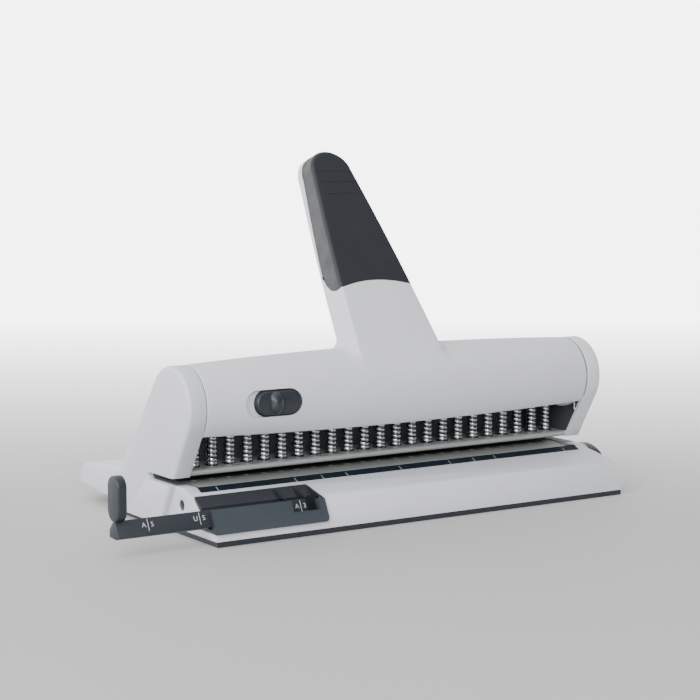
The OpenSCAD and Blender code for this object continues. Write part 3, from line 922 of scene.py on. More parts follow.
def soften(points: Sequence[Point2], at: int, reach: float, steps: int = 5) -> list[Point2]:
    """Round one corner of an outline.

    Args:
        points: the outline.
        at: number of the corner.
        reach: how far the rounding runs along each side.
        steps: pieces of the rounding.

    Returns:
        The outline with the corner's rounding in place of the corner.
    """
    corner = Vector(points[at])
    far = next(q for q in reversed(points[:at]) if (Vector(q) - corner).length >= 0.8 * reach)
    first = corner + (Vector(far) - corner).normalized() * reach
    last = corner + (Vector(points[(at + 1) % len(points)]) - corner).normalized() * reach
    shares = [i / steps for i in range(steps + 1)]
    bend = [first * (1 - t) ** 2 + corner * 2 * t * (1 - t) + last * t * t for t in shares]
    before = [q for q in points[:at] if (Vector(q) - corner).length > reach]
    after = [q for q in points[at + 1:] if (Vector(q) - corner).length > reach]
    return before + [tuple(p) for p in bend] + after


@dataclass(frozen=True)
class Plan:
    """Main sizes that the pieces share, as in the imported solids."""

    punches: int = 23
    pitch: float = 12.0
    inner: float = 140.7
    outer: float = 148.8
    plate: float = 3.0
    table: float = 27.8
    slot: float = 4.6
    slot_rear: float = 20.0
    guide_top: float = 36.0
    head: float = 54.0
    axis: Point2 = (-8.5, 74.0)
    drum_half: float = 140.2
    drum_r: float = 24.0
    bulge: float = 3.6
    wall: float = 2.4
    shell_rear: float = 40.2
    lip: float = 223.0
    front_slope: float = 31.0
    rear_slope: float = 38.0
    base_rear: float = 58.0
    travel: float = 50.0
    bolt: Point2 = (-24.95, 75.3)
    bolt_room: float = 2.9
    tray_y: Point2 = (-36.4, 7.4)
    tray_top: float = 11.8

    def punch_places(self) -> list[float]:
        """Place of each punch along the row."""
        return [(i - (self.punches - 1) / 2) * self.pitch for i in range(self.punches)]

    def barrel(self) -> float:
        """Radius of the arc that is turned round the axle to make the drum."""
        return (self.drum_half**2 + self.bulge**2) / (2 * self.bulge)

    def drum(self, x: float) -> float:
        """Radius of the drum at a place along the row."""
        big = self.barrel()
        return self.drum_r + self.bulge - big + math.sqrt(big * big - x * x)

    def round_axle(self, x: float, radius: float, angle: float) -> Vector:
        """Point round the axle.

        Args:
            x: place along the row.
            radius: distance from the axle.
            angle: turn in degrees, from the rear upwards.

        Returns:
            The point, in millimetres.
        """
        turn = math.radians(angle)
        return Vector(
            (x, self.axis[0] + radius * math.cos(turn), self.axis[1] + radius * math.sin(turn))
        )

    def cheek_front(self, z: float, inset: float = 0.0) -> float:
        """Front edge of a cheek.

        Args:
            z: height where it is wanted.
            inset: how far the edge is moved in.

        Returns:
            Place of the edge from front to rear.
        """
        slope = math.radians(self.front_slope)
        down = math.sin(slope) * (z - self.axis[1])
        return self.axis[0] - (self.drum_r - inset + down) / math.cos(slope)

    def cheek_back(self, y: float, inset: float = 0.0) -> float:
        """Sloping rear edge of a cheek.

        Args:
            y: place from front to rear where it is wanted.
            inset: how far the edge is moved in.

        Returns:
            Height of the edge.
        """
        slope = math.radians(self.rear_slope)
        along = math.cos(slope) * (y - self.axis[0])
        return self.axis[1] + (self.drum_r - inset - along) / math.sin(slope)

    def bolt_way(self) -> list[Point2]:
        """Outline of the pocket that the lock's bolt can reach at any turn of the lever.

        Returns:
            Corners in order.
        """
        reach = math.dist(self.axis, self.bolt)
        turn = math.degrees(math.atan2(self.bolt[1] - self.axis[1], self.bolt[0] - self.axis[0]))
        last, room = turn + self.travel, self.bolt_room
        far = arc(self.axis, reach, last, last, 1)[0]
        outline = arc(self.axis, reach + room, turn, last, 12)
        outline += arc(far, room, last + 20, last + 160, 7)
        outline += arc(self.axis, reach - room, last, turn, 12)
        return outline + arc(self.bolt, room, turn + 200, turn + 340, 7)


# Sub-assemblies


@dataclass
class LeverUnit:
    """Drum, lever arm, grip and the lever's return wire."""

    plan: Plan
    finishes: Finishes
    lean: float = 36.0
    front: float = 27.6
    back: float = 6.8
    flare: float = 8.0
    front_edge: float = 1.7
    back_edge: float = 1.4
    tip_r: float = 14.5
    reach: float = 160.0
    join_v: float = 147.8
    tip_slant: float = 7.0
    rim: float = 10.2
    rim_slant: float = 0.06
    rim_from: float = 84.0
    pad_low: float = 58.6
    pad_arch: float = 3.8
    pad_side: Point2 = (16.0, 20.0)
    pad_proud: float = 0.25
    pad_wall: float = 1.2
    pad_bare: float = 0.012
    back_fade: float = 6.0
    flow_from: float = 10.0
    taper: Point3 = (31.3, 0.0852, 0.000265)
    taper_from: float = 8.0
    straight: float = 0.72
    crowding: float = 1.6
    tip_from: float = 9.0
    foot_x: float = 30.0
    foot_flow: float = 40.0
    window: Point2 = (37.6, 16.0)
    window_x: float = -96.5
    web_t: float = 4.0
    ridges: Point3 = (145.0, 136.9, 127.8)
    ridge_half: float = 12.5
    ridge_r: float = 0.42
    ridge_proud: float = 0.08
    ridge_arch: float = 0.004
    wire_r: float = 0.55
    coil_x: float = 110.0
    coil_r: float = 6.6

    def on_lever(self, x: float, n: float, v: float) -> Vector:
        """Point that is given on the lever.

        Args:
            x: place along the row.
            n: depth in front of the axle.
            v: length along the lever.

        Returns:
            The point, in millimetres.
        """
        lean = math.radians(self.lean)
        y = self.plan.axis[0] - n * math.cos(lean) + v * math.sin(lean)
        z = self.plan.axis[1] + n * math.sin(lean) + v * math.cos(lean)
        return Vector((x, y, z))

    def half_width(self, v: float) -> float:
        """Half width of the lever.

        Args:
            v: length along the lever.

        Returns:
            The half width there.
        """
        width, slope, bend = self.taper
        run = v - self.taper_from
        return width - slope * run - bend * run**2

    def drum_level(self, x: float, n: float) -> float:
        """Length along the lever where depth n meets the drum's skin."""
        return math.sqrt(max(self.plan.drum(x) ** 2 - n * n, 0.0))

    def build_shell(self) -> None:
        """Model the drum's shell, with the recess for the lock cut out."""
        p = self.plan

        def skin(u: float, v: float) -> Vector:
            """Point on the drum's outside."""
            x = p.drum_half * (2 * u - 1)
            return p.round_axle(x, p.drum(x), p.lip + (p.shell_rear - p.lip) * v)

        shell = Bench.sheet("drum_shell", 140, 72, skin)
        Bench.tidy(shell)
        self.face_from_axle(shell)
        Bench.apply(shell, "SOLIDIFY", thickness=p.wall * MM, offset=-1.0, use_even_offset=True)
        Bench.round_edges(shell, 0.5, 3, 60)
        inside, height = p.axis[0] - p.drum_r / 2, p.bolt[1]
        window = [(x + self.window_x, inside, z + height) for x, z in capsule(*self.window)]
        Bench.cut(shell, Bench.prism("lock_window", window, (0, -40, 0)))
        Bench.hand_over(
            shell, "drum_shell", Body.LEVER, self.finishes.light, "light_plastic", ["lever_drum"]
        )

    def build_webs(self) -> None:
        """Model the webs that close the drum's ends, the left one with a bore for the bolt."""
        p = self.plan
        rim = arc(p.axis, p.drum_r - p.wall / 2, p.shell_rear + 1, p.lip - 1, 36)
        rim += arc(p.axis, p.drum_r - p.wall - 0.4, p.lip - 1, p.shell_rear + 361, 36)
        for side in Side:
            end = side.value * p.drum_half
            web = Bench.along("web", rim, end - side.value * self.web_t, end)
            if side is Side.LEFT:
                bore = circle(p.bolt, p.bolt_room - 0.3)
                Bench.cut(web, Bench.along("bore", bore, -p.outer, end + self.web_t + 5))
            Bench.round_edges(web, 0.8, 3)
            name = f"drum_web_{side.name.lower()}"
            Bench.hand_over(web, name, Body.LEVER, self.finishes.light, "light_plastic")

    def face_from_axle(self, obj: bpy.types.Object) -> None:
        """Turn an open sheet round the axle so that its faces look away from the axle.

        Args:
            obj: the sheet.
        """
        middle = obj.data.polygons[len(obj.data.polygons) // 2]
        away = middle.center - Vector((middle.center.x, *(c * MM for c in self.plan.axis)))
        if middle.normal.dot(away) < 0:
            with Bench.editing(obj):
                bpy.ops.mesh.flip_normals()

    def outline(self, share: float, low: float) -> tuple[float, float, float, float]:
        """Outline of the lever from its left foot over the tip to its right foot.

        Args:
            share: place along the outline, 0 to 1.
            low: length along the lever where the outline starts and ends.

        Returns:
            Half width, sideways and upward part of the outward direction, and length.
        """
        side = -1.0 if share < 0.5 else 1.0
        run = 1 - abs(2 * share - 1)
        if run <= self.straight:
            v = low + (self.join_v - low) * (run / self.straight) ** self.crowding
            return side * self.half_width(v), side, 0.0, v
        way = (run - self.straight) / (1 - self.straight)
        turn = math.radians(self.tip_from + (90 - self.tip_from) * way)
        centre = self.reach - self.tip_r
        x = side * self.tip_r * math.cos(turn)
        return x, side * math.cos(turn), math.sin(turn), centre + self.tip_r * math.sin(turn)

    def slant(self, rise: float, n: float) -> float:
        """How much further the tip reaches at depth n, for the upward part of a direction."""
        return self.tip_slant * rise * (self.front - n) / (self.front - self.back)

    def section(self) -> list[Station]:
        """Stations across the lever's thickness, from the back to the front.

        Returns:
            Face, inset and depth of each station.
        """
        heel, edge = self.back_edge, self.front_edge
        low, high = self.back + heel, self.front - edge
        rows = [(Face.BACK, 1 - i / 4, self.back) for i in range(4)]
        for a in (math.radians(18 * i) for i in range(6)):
            rows.append((Face.SIDE, heel * (1 - math.sin(a)), low - heel * math.cos(a)))
        rows += [(Face.SIDE, 0.0, low + (high - low) * i / 8) for i in range(1, 8)]
        for a in (math.radians(15 * i) for i in range(7)):
            rows.append((Face.SIDE, edge * (1 - math.cos(a)), high + edge * math.sin(a)))
        return rows + [(Face.FRONT, i / 8, self.front) for i in range(1, 9)]

    def arm_point(self, share: float, face: Face, inset: float, n: float) -> Vector:
        """Point on the lever arm's skin.

        Args:
            share: place along the outline.
            face: the station's face.
            inset: inset on a side, or share towards the middle line on the back and front.
            n: depth in front of the axle.

        Returns:
            The point, in millimetres.
        """
        level = self.drum_level(self.foot_x, n)
        x, dx, dv, v = self.outline(share, level - 0.4)
        v += self.slant(dv, n)
        rise = max(v - level, 0.0)
        bend = 0.0
        if rise < self.flare:
            bend = self.flare - math.sqrt(self.flare**2 - (self.flare - rise) ** 2)
        edge = self.back_edge if face is Face.BACK else self.front_edge
        if face is Face.SIDE:
            x, v = x + dx * (bend - inset), v - dv * inset
            depth = n - bend * max(1 - (n - self.back) / self.back_fade, 0.0)
        else:
            x, v = x + dx * (bend - edge), v - dv * edge
            middle = min(v, self.reach - self.tip_r)
            x, v = x * (1 - inset), v + (middle - v) * inset
            depth = n - (bend if face is Face.BACK else 0.0)
        if n > self.back + self.flow_from:
            depth += (self.plan.drum(x) - self.front) * (1 - smooth(v / self.foot_flow))
        return self.on_lever(x, depth, v)

    def build_arm(self) -> None:
        """Model the lever arm, which flows into the drum at its foot."""
        rows = self.section()
        arm = Bench.sheet(
            "lever_arm", 148, len(rows) - 1,
            lambda u, v: self.arm_point(u, *rows[round(v * (len(rows) - 1))]),
        )
        Bench.tidy(arm, 0.01)
        Bench.close(arm)
        Bench.hand_over(
            arm, "lever_arm", Body.LEVER, self.finishes.light, "light_plastic", angle=40
        )

    def pad_floor(self, face: Face, x_share: float, n: float) -> float:
        """Lower edge of the grip: arched on the front, rounded on the sides.

        Args:
            face: face that the edge runs over.
            x_share: share from the side to the middle line, on the front.
            n: depth in front of the axle, on a side.

        Returns:
            Length along the lever.
        """
        if face is Face.FRONT:
            return self.pad_low + self.pad_arch * (1 - (1 - x_share) ** 2)
        width, height = self.pad_side
        fade = min(max((self.rim + width - n) / width, 0.0), 1.0)
        return self.pad_low + height * (1 - math.sqrt(1 - fade * fade))

    def build_grip(self) -> None:
        """Model the soft pad on the lever, with three fine ridges near its tip."""
        start, edge = self.rim, self.front_edge
        rows = [(Face.SIDE, 0.0, start + step) for step in (0.0, 0.15, 0.5)]
        rows += [row for row in self.section() if row[0] is not Face.BACK and row[2] > start]
        columns, bare = 150, self.pad_bare

        def place(u: float, v: float) -> Vector:
            """Point on the pad's skin.

            Args:
                u: share along the outline.
                v: share across the stations.

            Returns:
                The point, in millimetres.
            """
            at = round(v * (len(rows) - 1))
            face, inset, n = rows[at]
            low = self.pad_floor(face, inset if face is Face.FRONT else 0.0, n)
            share = min(max((u - bare) / (1 - 2 * bare), 0.0), 1.0)
            x, dx, dv, length = self.outline(share, low)
            if face is Face.SIDE:
                way = self.rim_slant * max(length - self.rim_from, 0.0)
                n += way * max(self.front - edge - n, 0.0) / (self.front - start)
            length += self.slant(dv, n)
            rim = min(at, round(u * columns), round((1 - u) * columns))
            proud = (-0.5, 0.0, 0.17)[rim] if rim < 3 else self.pad_proud
            if face is Face.SIDE:
                lift = math.asin(min(max((n - self.front + edge) / edge, 0), 1))
                out = proud * math.cos(lift) - inset
                x, length, depth = x + dx * out, length + dv * out, n + proud * math.sin(lift)
            else:
                x, length = x - dx * edge, length - dv * edge
                middle = min(length, self.reach - self.tip_r)
                x, length = x * (1 - inset), length + (middle - length) * inset
                depth = n + proud
            return self.on_lever(x, depth, length)

        pad = Bench.sheet("lever_pad", columns, len(rows) - 1, place)
        Bench.tidy(pad, 0.01)
        Bench.apply(pad, "SOLIDIFY", thickness=self.pad_wall * MM, offset=-1.0)
        Bench.hand_over(
            pad, "lever_pad", Body.LEVER, self.finishes.grip, "grip_rubber", ["lever_grip"], 45
        )
        places = [self.ridge_half * (i / 12 - 1) for i in range(25)]
        depth = self.front + self.ridge_proud
        for number, top in enumerate(self.ridges, 1):
            path = [self.on_lever(x, depth, top - self.ridge_arch * x * x) for x in places]
            ridge = Bench.tube("ridge", path, self.ridge_r)
            Bench.hand_over(
                ridge, f"pad_ridge_{number}", Body.LEVER, self.finishes.grip, "grip_rubber"
            )

    def build_wire(self) -> None:
        """Model the return spring as a smooth wire: its coil, its leg and its hook."""
        p, x = self.plan, self.plan.inner
        rough = [
            p.round_axle(self.coil_x + 0.2 * i, self.coil_r, p.lip - 80 + 30 * i)
            for i in range(37)
        ]
        leg = (
            (x - 12, 12, 9), (x - 7.5, 18.5, 4), (x - 5, 22, 4), (x - 3.9, 23.7, 6),
            (x - 3.6, 25.6, 11), (x - 2.5, 26.3, 14), (x - 1.4, 25.6, 11), (x - 1.1, 23.7, 6),
        )
        rough += [p.round_axle(px, r, p.lip + turn) for px, r, turn in leg]
        path = thread(rough, [4] * 36 + [10] * len(leg))
        wire = Bench.tube("return_wire", path, self.wire_r, 12)
        Bench.hand_over(
            wire, "return_wire", Body.LEVER, self.finishes.bright, "chrome", ["return_spring"], 60
        )

    def build(self) -> None:
        """Model all pieces of the lever."""
        self.build_shell()
        self.build_webs()
        self.build_arm()
        self.build_grip()
        self.build_wire()


@dataclass
class LockUnit:
    """Slider in the drum's wall, which the finger pushes along the row."""

    plan: Plan
    finishes: Finishes
    middle: float = -93.5
    size: Point2 = (31.0, 15.4)
    ridge_x: float = -95.5
    ridge: Point2 = (13.4, 8.6)
    ridge_rise: float = 3.3
    rim: float = 0.8
    proud: float = 0.6

    def skin(self, x: float, z: float, rise: float) -> Vector:
        """Point over the drum's skin, seen straight from the front.

        Args:
            x: place along the row.
            z: height.
            rise: distance over the skin.

        Returns:
            The point, in millimetres.
        """
        radius = self.plan.drum(x) + rise
        up = z - self.plan.axis[1]
        return Vector((x, self.plan.axis[0] - math.sqrt(radius * radius - up * up), z))

    def lid(
        self, name: str, outline: Sequence[Point2], centre: Point2, rows: Sequence[Point2]
    ) -> bpy.types.Object:
        """Curved lid over the drum's skin.

        Args:
            name: the piece's name.
            outline: the lid's outline round its centre.
            centre: place of the lid along the row and its height.
            rows: share of the outline and rise for each ring, from the rim to the middle.

        Returns:
            The lid.
        """
        ring = list(outline) + [outline[0]]

        def place(u: float, v: float) -> Vector:
            """Point of one ring.

            Args:
                u: share round the outline.
                v: share from the rim to the middle.

            Returns:
                The point, in millimetres.
            """
            a, b = ring[round(u * (len(ring) - 1))]
            share, rise = rows[round(v * (len(rows) - 1))]
            return self.skin(centre[0] + a * share, centre[1] + b * share, rise)

        lid = Bench.sheet(name, len(ring) - 1, len(rows) - 1, place)
        Bench.tidy(lid)
        Bench.close(lid)
        return lid

    def build(self) -> None:
        """Model the slider's plate and its finger ridge, over a black ring of painted shade round
        the plate.
        """
        plate_rows = [
            (1.0, -2.2), (1.0, -0.6), (0.995, 0.0), (0.98, 0.35), (0.95, self.proud - 0.06),
            (0.9, self.proud), (0.75, self.proud), (0.55, self.proud), (0.35, self.proud),
            (0.15, self.proud), (0.0, self.proud),
        ]
        height = self.plan.bolt[1]
        centre = (self.middle, height)
        # Painted shade: a black ring sunk under the plate's rim stands in for the shade in the gap
        # round the slider.
        shadow_ring_rows = [(1.0, -2.2), (1.0, -0.7), (0.98, -0.35), (0.9, -0.3), (0.5, -0.3), (0.0, -0.3)]
        edge = self.lid("edge", capsule(*self.size, 28), centre, shadow_ring_rows)
        Bench.hand_over(edge, "lock_edge", Body.LOCK, self.finishes.gap, "dark_plastic", angle=50)
        top = [side - 2 * self.rim for side in self.size]
        plate = self.lid("plate", capsule(*top, 28), centre, plate_rows)
        ridge_rows = [(1.0, -0.5)]
        for i in range(13):
            a = math.radians(90 * i / 12)
            ridge_rows.append((math.cos(a), self.proud - 0.1 + self.ridge_rise * math.sin(a)))
        upright = [(b, a) for a, b in capsule(*self.ridge, 24)]
        ridge = self.lid("ridge", upright, (self.ridge_x, height), ridge_rows)
        slider = Bench.join(plate, [ridge])
        Bench.hand_over(
            slider, "lock_cap", Body.LOCK, self.finishes.slider, "dark_plastic", ["lock_slider"], 50
        )


@dataclass
class Cheeks:
    """Two side plates that stand out past the apron's ends, with the paper slot."""

    plan: Plan
    finishes: Finishes
    rounding: float = 2.4
    out: float = 3.4
    pocket: float = 6.2
    # Sizes of the sheets of painted shade inside the cheeks and on the slot floors.
    liner_top: float = 62.0
    liner_rear: float = 15.8
    liner_gap: float = 2.5
    liner_t: float = 0.3
    shoe_gap: float = 0.02
    shoe_t: float = 0.28

    def outline(self, inset: float) -> list[Point2]:
        """Outline of a cheek.

        Args:
            inset: how far the front, top and rear are moved in.

        Returns:
            Corners in order.
        """
        p = self.plan
        rear = p.base_rear - inset
        low = (p.cheek_front(p.plate, inset), p.plate)
        top = arc(p.axis, p.drum_r - inset, 180 + p.front_slope, p.rear_slope, 56)
        heel = (rear, p.cheek_back(rear, inset))
        points = between(low, top[0], [i / 12 for i in range(12)]) + top
        points += between(top[-1], heel, [i / 10 for i in range(1, 11)])
        points += between(heel, (rear, p.plate), (0.5, 1.0))
        return points + between((rear, p.plate), low, [i / 6 for i in range(1, 7)])

    def build_skin(self, side: Side) -> None:
        """Model one cheek with its slot.

        Args:
            side: end of the punch that it stands at.
        """
        p = self.plan
        full, moved = self.outline(0.0), self.outline(1.0)
        count, rings = len(full), 13

        def place(u: float, v: float) -> Point3:
            """Point of one ring of the cheek.

            Args:
                u: share round the outline.
                v: share from the inside to the outside.

            Returns:
                The point, in millimetres.
            """
            ring, at = round(v * rings), round(u * (count - 1))
            if ring == 0:
                return (side.value * p.inner, *full[at])
            turn = math.radians(90 * (ring - 1) / 12)
            inset = self.rounding * (1 - math.cos(turn))
            (y0, z0), (y1, z1) = full[at], moved[at]
            x = p.outer + self.out - self.rounding * (1 - math.sin(turn))
            return (side.value * x, y0 + (y1 - y0) * inset, z0 + (z1 - z0) * inset)

        cheek = Bench.sheet("cheek", count - 1, rings, place)
        Bench.tidy(cheek)
        Bench.close(cheek)
        half = p.slot / 2
        slot = [(-120.0, p.table)] + arc((p.slot_rear - half, p.table + half), half, -90, 90, 12)
        slot += [(-120.0, p.table + p.slot)]
        x0 = p.inner - 3 if side is Side.RIGHT else -p.outer - self.out - 3
        Bench.cut(cheek, Bench.along("slot", slot, x0, x0 + 18))
        if side is Side.RIGHT:
            way = rectangle(p.tray_y[0], 0.0, p.tray_y[1], p.tray_top)
            Bench.cut(cheek, Bench.along("way", way, x0, x0 + 18))
            step = rectangle(-120.0, -5.0, 120.0, p.table + p.slot)
            Bench.cut(cheek, Bench.along("step", step, p.outer, p.outer + self.out + 3))
        else:
            deep = -p.inner - self.pocket
            Bench.cut(cheek, Bench.along("pocket", p.bolt_way(), deep, -p.inner + 3))
        Bench.round_edges(cheek, 0.45, 2, 38)
        name = side.name.lower()
        Bench.hand_over(
            cheek, f"{name}_cheek_skin", Body.BASE, self.finishes.light, "light_plastic",
            [f"{name}_cheek"],
        )

    def build_liner(self, side: Side) -> None:
        """Model a thin dark sheet of painted shade on the inside of one cheek.

        Args:
            side: end of the punch that it stands at.
        """
        p = self.plan
        inside, low, high = side.value * p.inner, p.guide_top, self.liner_top
        front = [(p.cheek_front(z) + self.liner_gap, z) for z in (low, high)]
        liner = [front[0], (self.liner_rear, low), (self.liner_rear, high), front[1]]
        plate = Bench.along("liner", liner, inside, inside - side.value * self.liner_t)
        if side is Side.LEFT:
            Bench.cut(plate, Bench.along("pocket", p.bolt_way(), -p.inner - 3, -p.inner + 3))
        Bench.round_edges(plate, 0.1, 1)
        name = f"{side.name.lower()}_end_liner"
        Bench.hand_over(plate, name, Body.BASE, self.finishes.deep_shade_paint, "dark_plastic")

    def build_shoe(self, side: Side) -> None:
        """Model a thin grey sheet of painted shade on the slot's floor in one cheek.

        Args:
            side: end of the punch that it stands at.
        """
        p, half = self.plan, self.plan.slot / 2
        low, mouth = p.table + self.shoe_gap, p.cheek_front(p.table) - 0.5
        turn = (p.slot_rear - half, p.table + half)
        outer = half - self.shoe_gap
        shoe = [(mouth, low)] + arc(turn, outer, -90, 60, 12)
        shoe += arc(turn, outer - self.shoe_t, 60, -90, 12) + [(mouth, low + self.shoe_t)]
        shoe = Bench.along("shoe", shoe, side.value * p.inner, side.value * (p.outer - 0.4))
        name = f"{side.name.lower()}_slot_shoe"
        Bench.hand_over(shoe, name, Body.BASE, self.finishes.inside, "dark_plastic")

    def build_drum_seams(self) -> None:
        """Model black rings of painted shade in the gap between each cheek and the drum's end."""
        p = self.plan
        rings = []
        for side in Side:
            ring = arc(p.axis, p.drum_r - 0.15, p.shell_rear, 180 + p.front_slope, 48)
            ring += arc(p.axis, p.drum_r - 4, 180 + p.front_slope, p.shell_rear, 48)
            rings.append(Bench.along(
                "drum_gap_shadow", ring, side.value * (p.drum_half + 0.08), side.value * (p.inner + 0.2)
            ))
        gap_shadows = Bench.join(rings[0], rings[1:])
        Bench.hand_over(gap_shadows, "drum_seams", Body.BASE, self.finishes.gap, "dark_plastic")

    def build(self) -> None:
        """Model both cheeks, with sheets of painted shade inside them and on their slot floors, and
        black rings of painted shade at the drum's ends.
        """
        for side in Side:
            self.build_skin(side)
            self.build_liner(side)
            self.build_shoe(side)
        self.build_drum_seams()


@dataclass
class Apron:
    """Light wedge in front of the slot, and the shelf behind the cheeks."""

    plan: Plan
    finishes: Finishes
    front: float = -58.0
    crease: Point2 = (-50.7, 20.8)
    bend: float = 36.0
    wall: float = 2.0
    strip: Point2 = (-25.2, 25.4)
    die_front: float = -20.0
    die_low: float = 24.6
    ledge: float = -14.0
    shelf_rear: float = 122.0
    nose: float = 14.3
    shelf_top: float = 24.4
    hole: Point2 = (-16.5, 17.5)
    hole_r: float = 3.25
    # Depth of the black strips of painted shade at the table's ends.
    gap_shadow_depth: float = 0.4
    run_end: float = 17.0
    shelf_wall: float = 2.4

    def front_arc(self, inset: float) -> list[Point2]:
        """Curved front of the apron.

        Args:
            inset: how far the curve is moved in.

        Returns:
            Points from the bottom to the crease.
        """
        low, high = Vector((self.front, self.plan.plate)), Vector(self.crease)
        chord = high - low
        ahead = chord.normalized()
        sag = math.sqrt(self.bend**2 - chord.length_squared / 4)
        centre = (low + high) / 2 + Vector((ahead.y, -ahead.x)) * sag
        angles = [math.degrees(math.atan2(q.y - centre.y, q.x - centre.x)) for q in (low, high)]
        if angles[0] < 0:
            angles[0] += 360
        return arc((centre.x, centre.y), self.bend - inset, angles[0], angles[1], 20)

    def build_apron(self, housing: StopUnit) -> None:
        """Model the apron as one moulding and cut its hollows.

        Args:
            housing: the paper stop, whose trough is let into the apron.
        """
        p = self.plan
        rise = self.front_arc(0.0)
        outline = rise + [self.strip, (self.die_front, p.table), (p.cheek_front(p.table), p.table)]
        outline.append((p.cheek_front(p.plate), p.plate))
        outline = soften(outline, len(rise) - 1, 2.6)
        apron = Bench.along("apron", outline, -p.outer, p.outer)
        over = rectangle(self.strip[0], self.die_low, 60.0, 60.0)
        Bench.cut(apron, Bench.along("over", over, -p.inner, p.inner))
        under = self.front_arc(self.wall)
        under = [(under[0][0], -5.0)] + under + [
            (self.strip[0], self.die_low - self.wall), (self.ledge, self.die_low - self.wall),
            (self.ledge, 40.0), (60.0, 40.0), (60.0, -5.0),
        ]
        Bench.cut(apron, Bench.along("under", under, -p.inner, p.inner))
        Bench.cut(apron, Bench.along("bed", housing.outline(), -p.outer - 5, housing.span[1]))
        run = Bench.along("run", housing.ruler_way(), housing.span[1] - 1, self.run_end)
        Bench.cut(apron, run)
        hole = circle(self.hole, self.hole_r)
        Bench.cut(apron, Bench.along("hole", hole, -p.outer - 5, -p.inner + 5))
        way = rectangle(p.tray_y[0], -2.0, p.tray_y[1], p.tray_top)
        Bench.cut(apron, Bench.along("way", way, p.inner - 5, p.outer + 5))
        Bench.round_edges(apron, 0.55, 3, 40)
        Bench.hand_over(
            apron, "apron_skin", Body.BASE, self.finishes.light, "light_plastic", ["front_apron"]
        )

    def build_gap_shadows(self) -> None:
        """Model black strips of painted shade in the gaps at the table's ends."""
        low = self.plan.table - self.gap_shadow_depth
        left = rectangle(-140.8, -20.4, -139.9, 15.0)
        right = [
            (133.4, -20.4), (140.9, -20.4), (140.9, -18.6), (134.6, -16.6), (141.2, 3.0),
            (141.2, 15.0), (140.2, 15.0), (140.2, 3.0), (133.6, -16.4),
        ]
        gaps = [
            Bench.prism("gap_shadow", [(x, y, low) for x, y in outline], (0, 0, self.gap_shadow_depth + 0.03))
            for outline in (left, right)
        ]
        gap_shadows = Bench.join(gaps[0], gaps[1:])
        Bench.hand_over(gap_shadows, "table_seams", Body.BASE, self.finishes.gap, "dark_plastic")

    def build_slot_end_shade(self) -> None:
        """Model a grey triangle of painted shade laid into the table at its right end."""
        low = self.plan.table - self.gap_shadow_depth
        corners = [(141.0, 2.4, low), (134.6, -16.6, low), (141.0, -18.6, low)]
        flare = Bench.prism("flare", corners, (0, 0, self.gap_shadow_depth + 0.05))
        Bench.hand_over(flare, "slot_flare", Body.BASE, self.finishes.inside, "dark_plastic")

    def build_liner(self) -> None:
        """Model a grey sleeve of painted shade inside the round hole in the left end."""
        p = self.plan
        rim, bore = (circle(self.hole, self.hole_r - gap) for gap in (0.01, 0.35))
        liner = Bench.along("liner", rim, -p.outer + 0.5, -p.inner - 0.3)
        Bench.cut(liner, Bench.along("bore", bore, -p.outer - 5, -p.inner + 5))
        Bench.hand_over(liner, "hole_liner", Body.BASE, self.finishes.inside, "dark_plastic")

    def build_shelf(self) -> None:
        """Model the shelf with its round nose, hollow from below."""
        p = self.plan
        rear = p.base_rear
        centre = (self.shelf_rear - self.nose, self.shelf_top - self.nose)
        kink = (rear + 25, p.plate + 4.5)
        outline = [(rear, p.plate), (rear, p.cheek_back(rear))]
        outline += arc(centre, self.nose, 90, 0, 24) + [kink]
        shelf = Bench.along("shelf", outline, -p.outer, p.outer)
        wall, half = self.shelf_wall, p.outer - self.shelf_wall
        inside = [(rear + wall, -5.0), (rear + wall, p.cheek_back(rear) - wall)]
        inside += arc(centre, self.nose - wall, 90, 40, 12) + [(centre[0], -5.0)]
        Bench.cut(shelf, Bench.along("hollow", inside, -half, half))
        Bench.round_edges(shelf, 0.9, 3, 40)
        Bench.hand_over(
            shelf, "shelf_skin", Body.BASE, self.finishes.light, "light_plastic", ["rear_shelf"]
        )

    def build(self, housing: StopUnit) -> None:
        """Model the apron, the painted-shade pieces at its table's ends and in its hole, and the
        shelf.

        Args:
            housing: the paper stop, whose trough is let into the apron.
        """
        self.build_apron(housing)
        self.build_gap_shadows()
        self.build_slot_end_shade()
        self.build_liner()
        self.build_shelf()


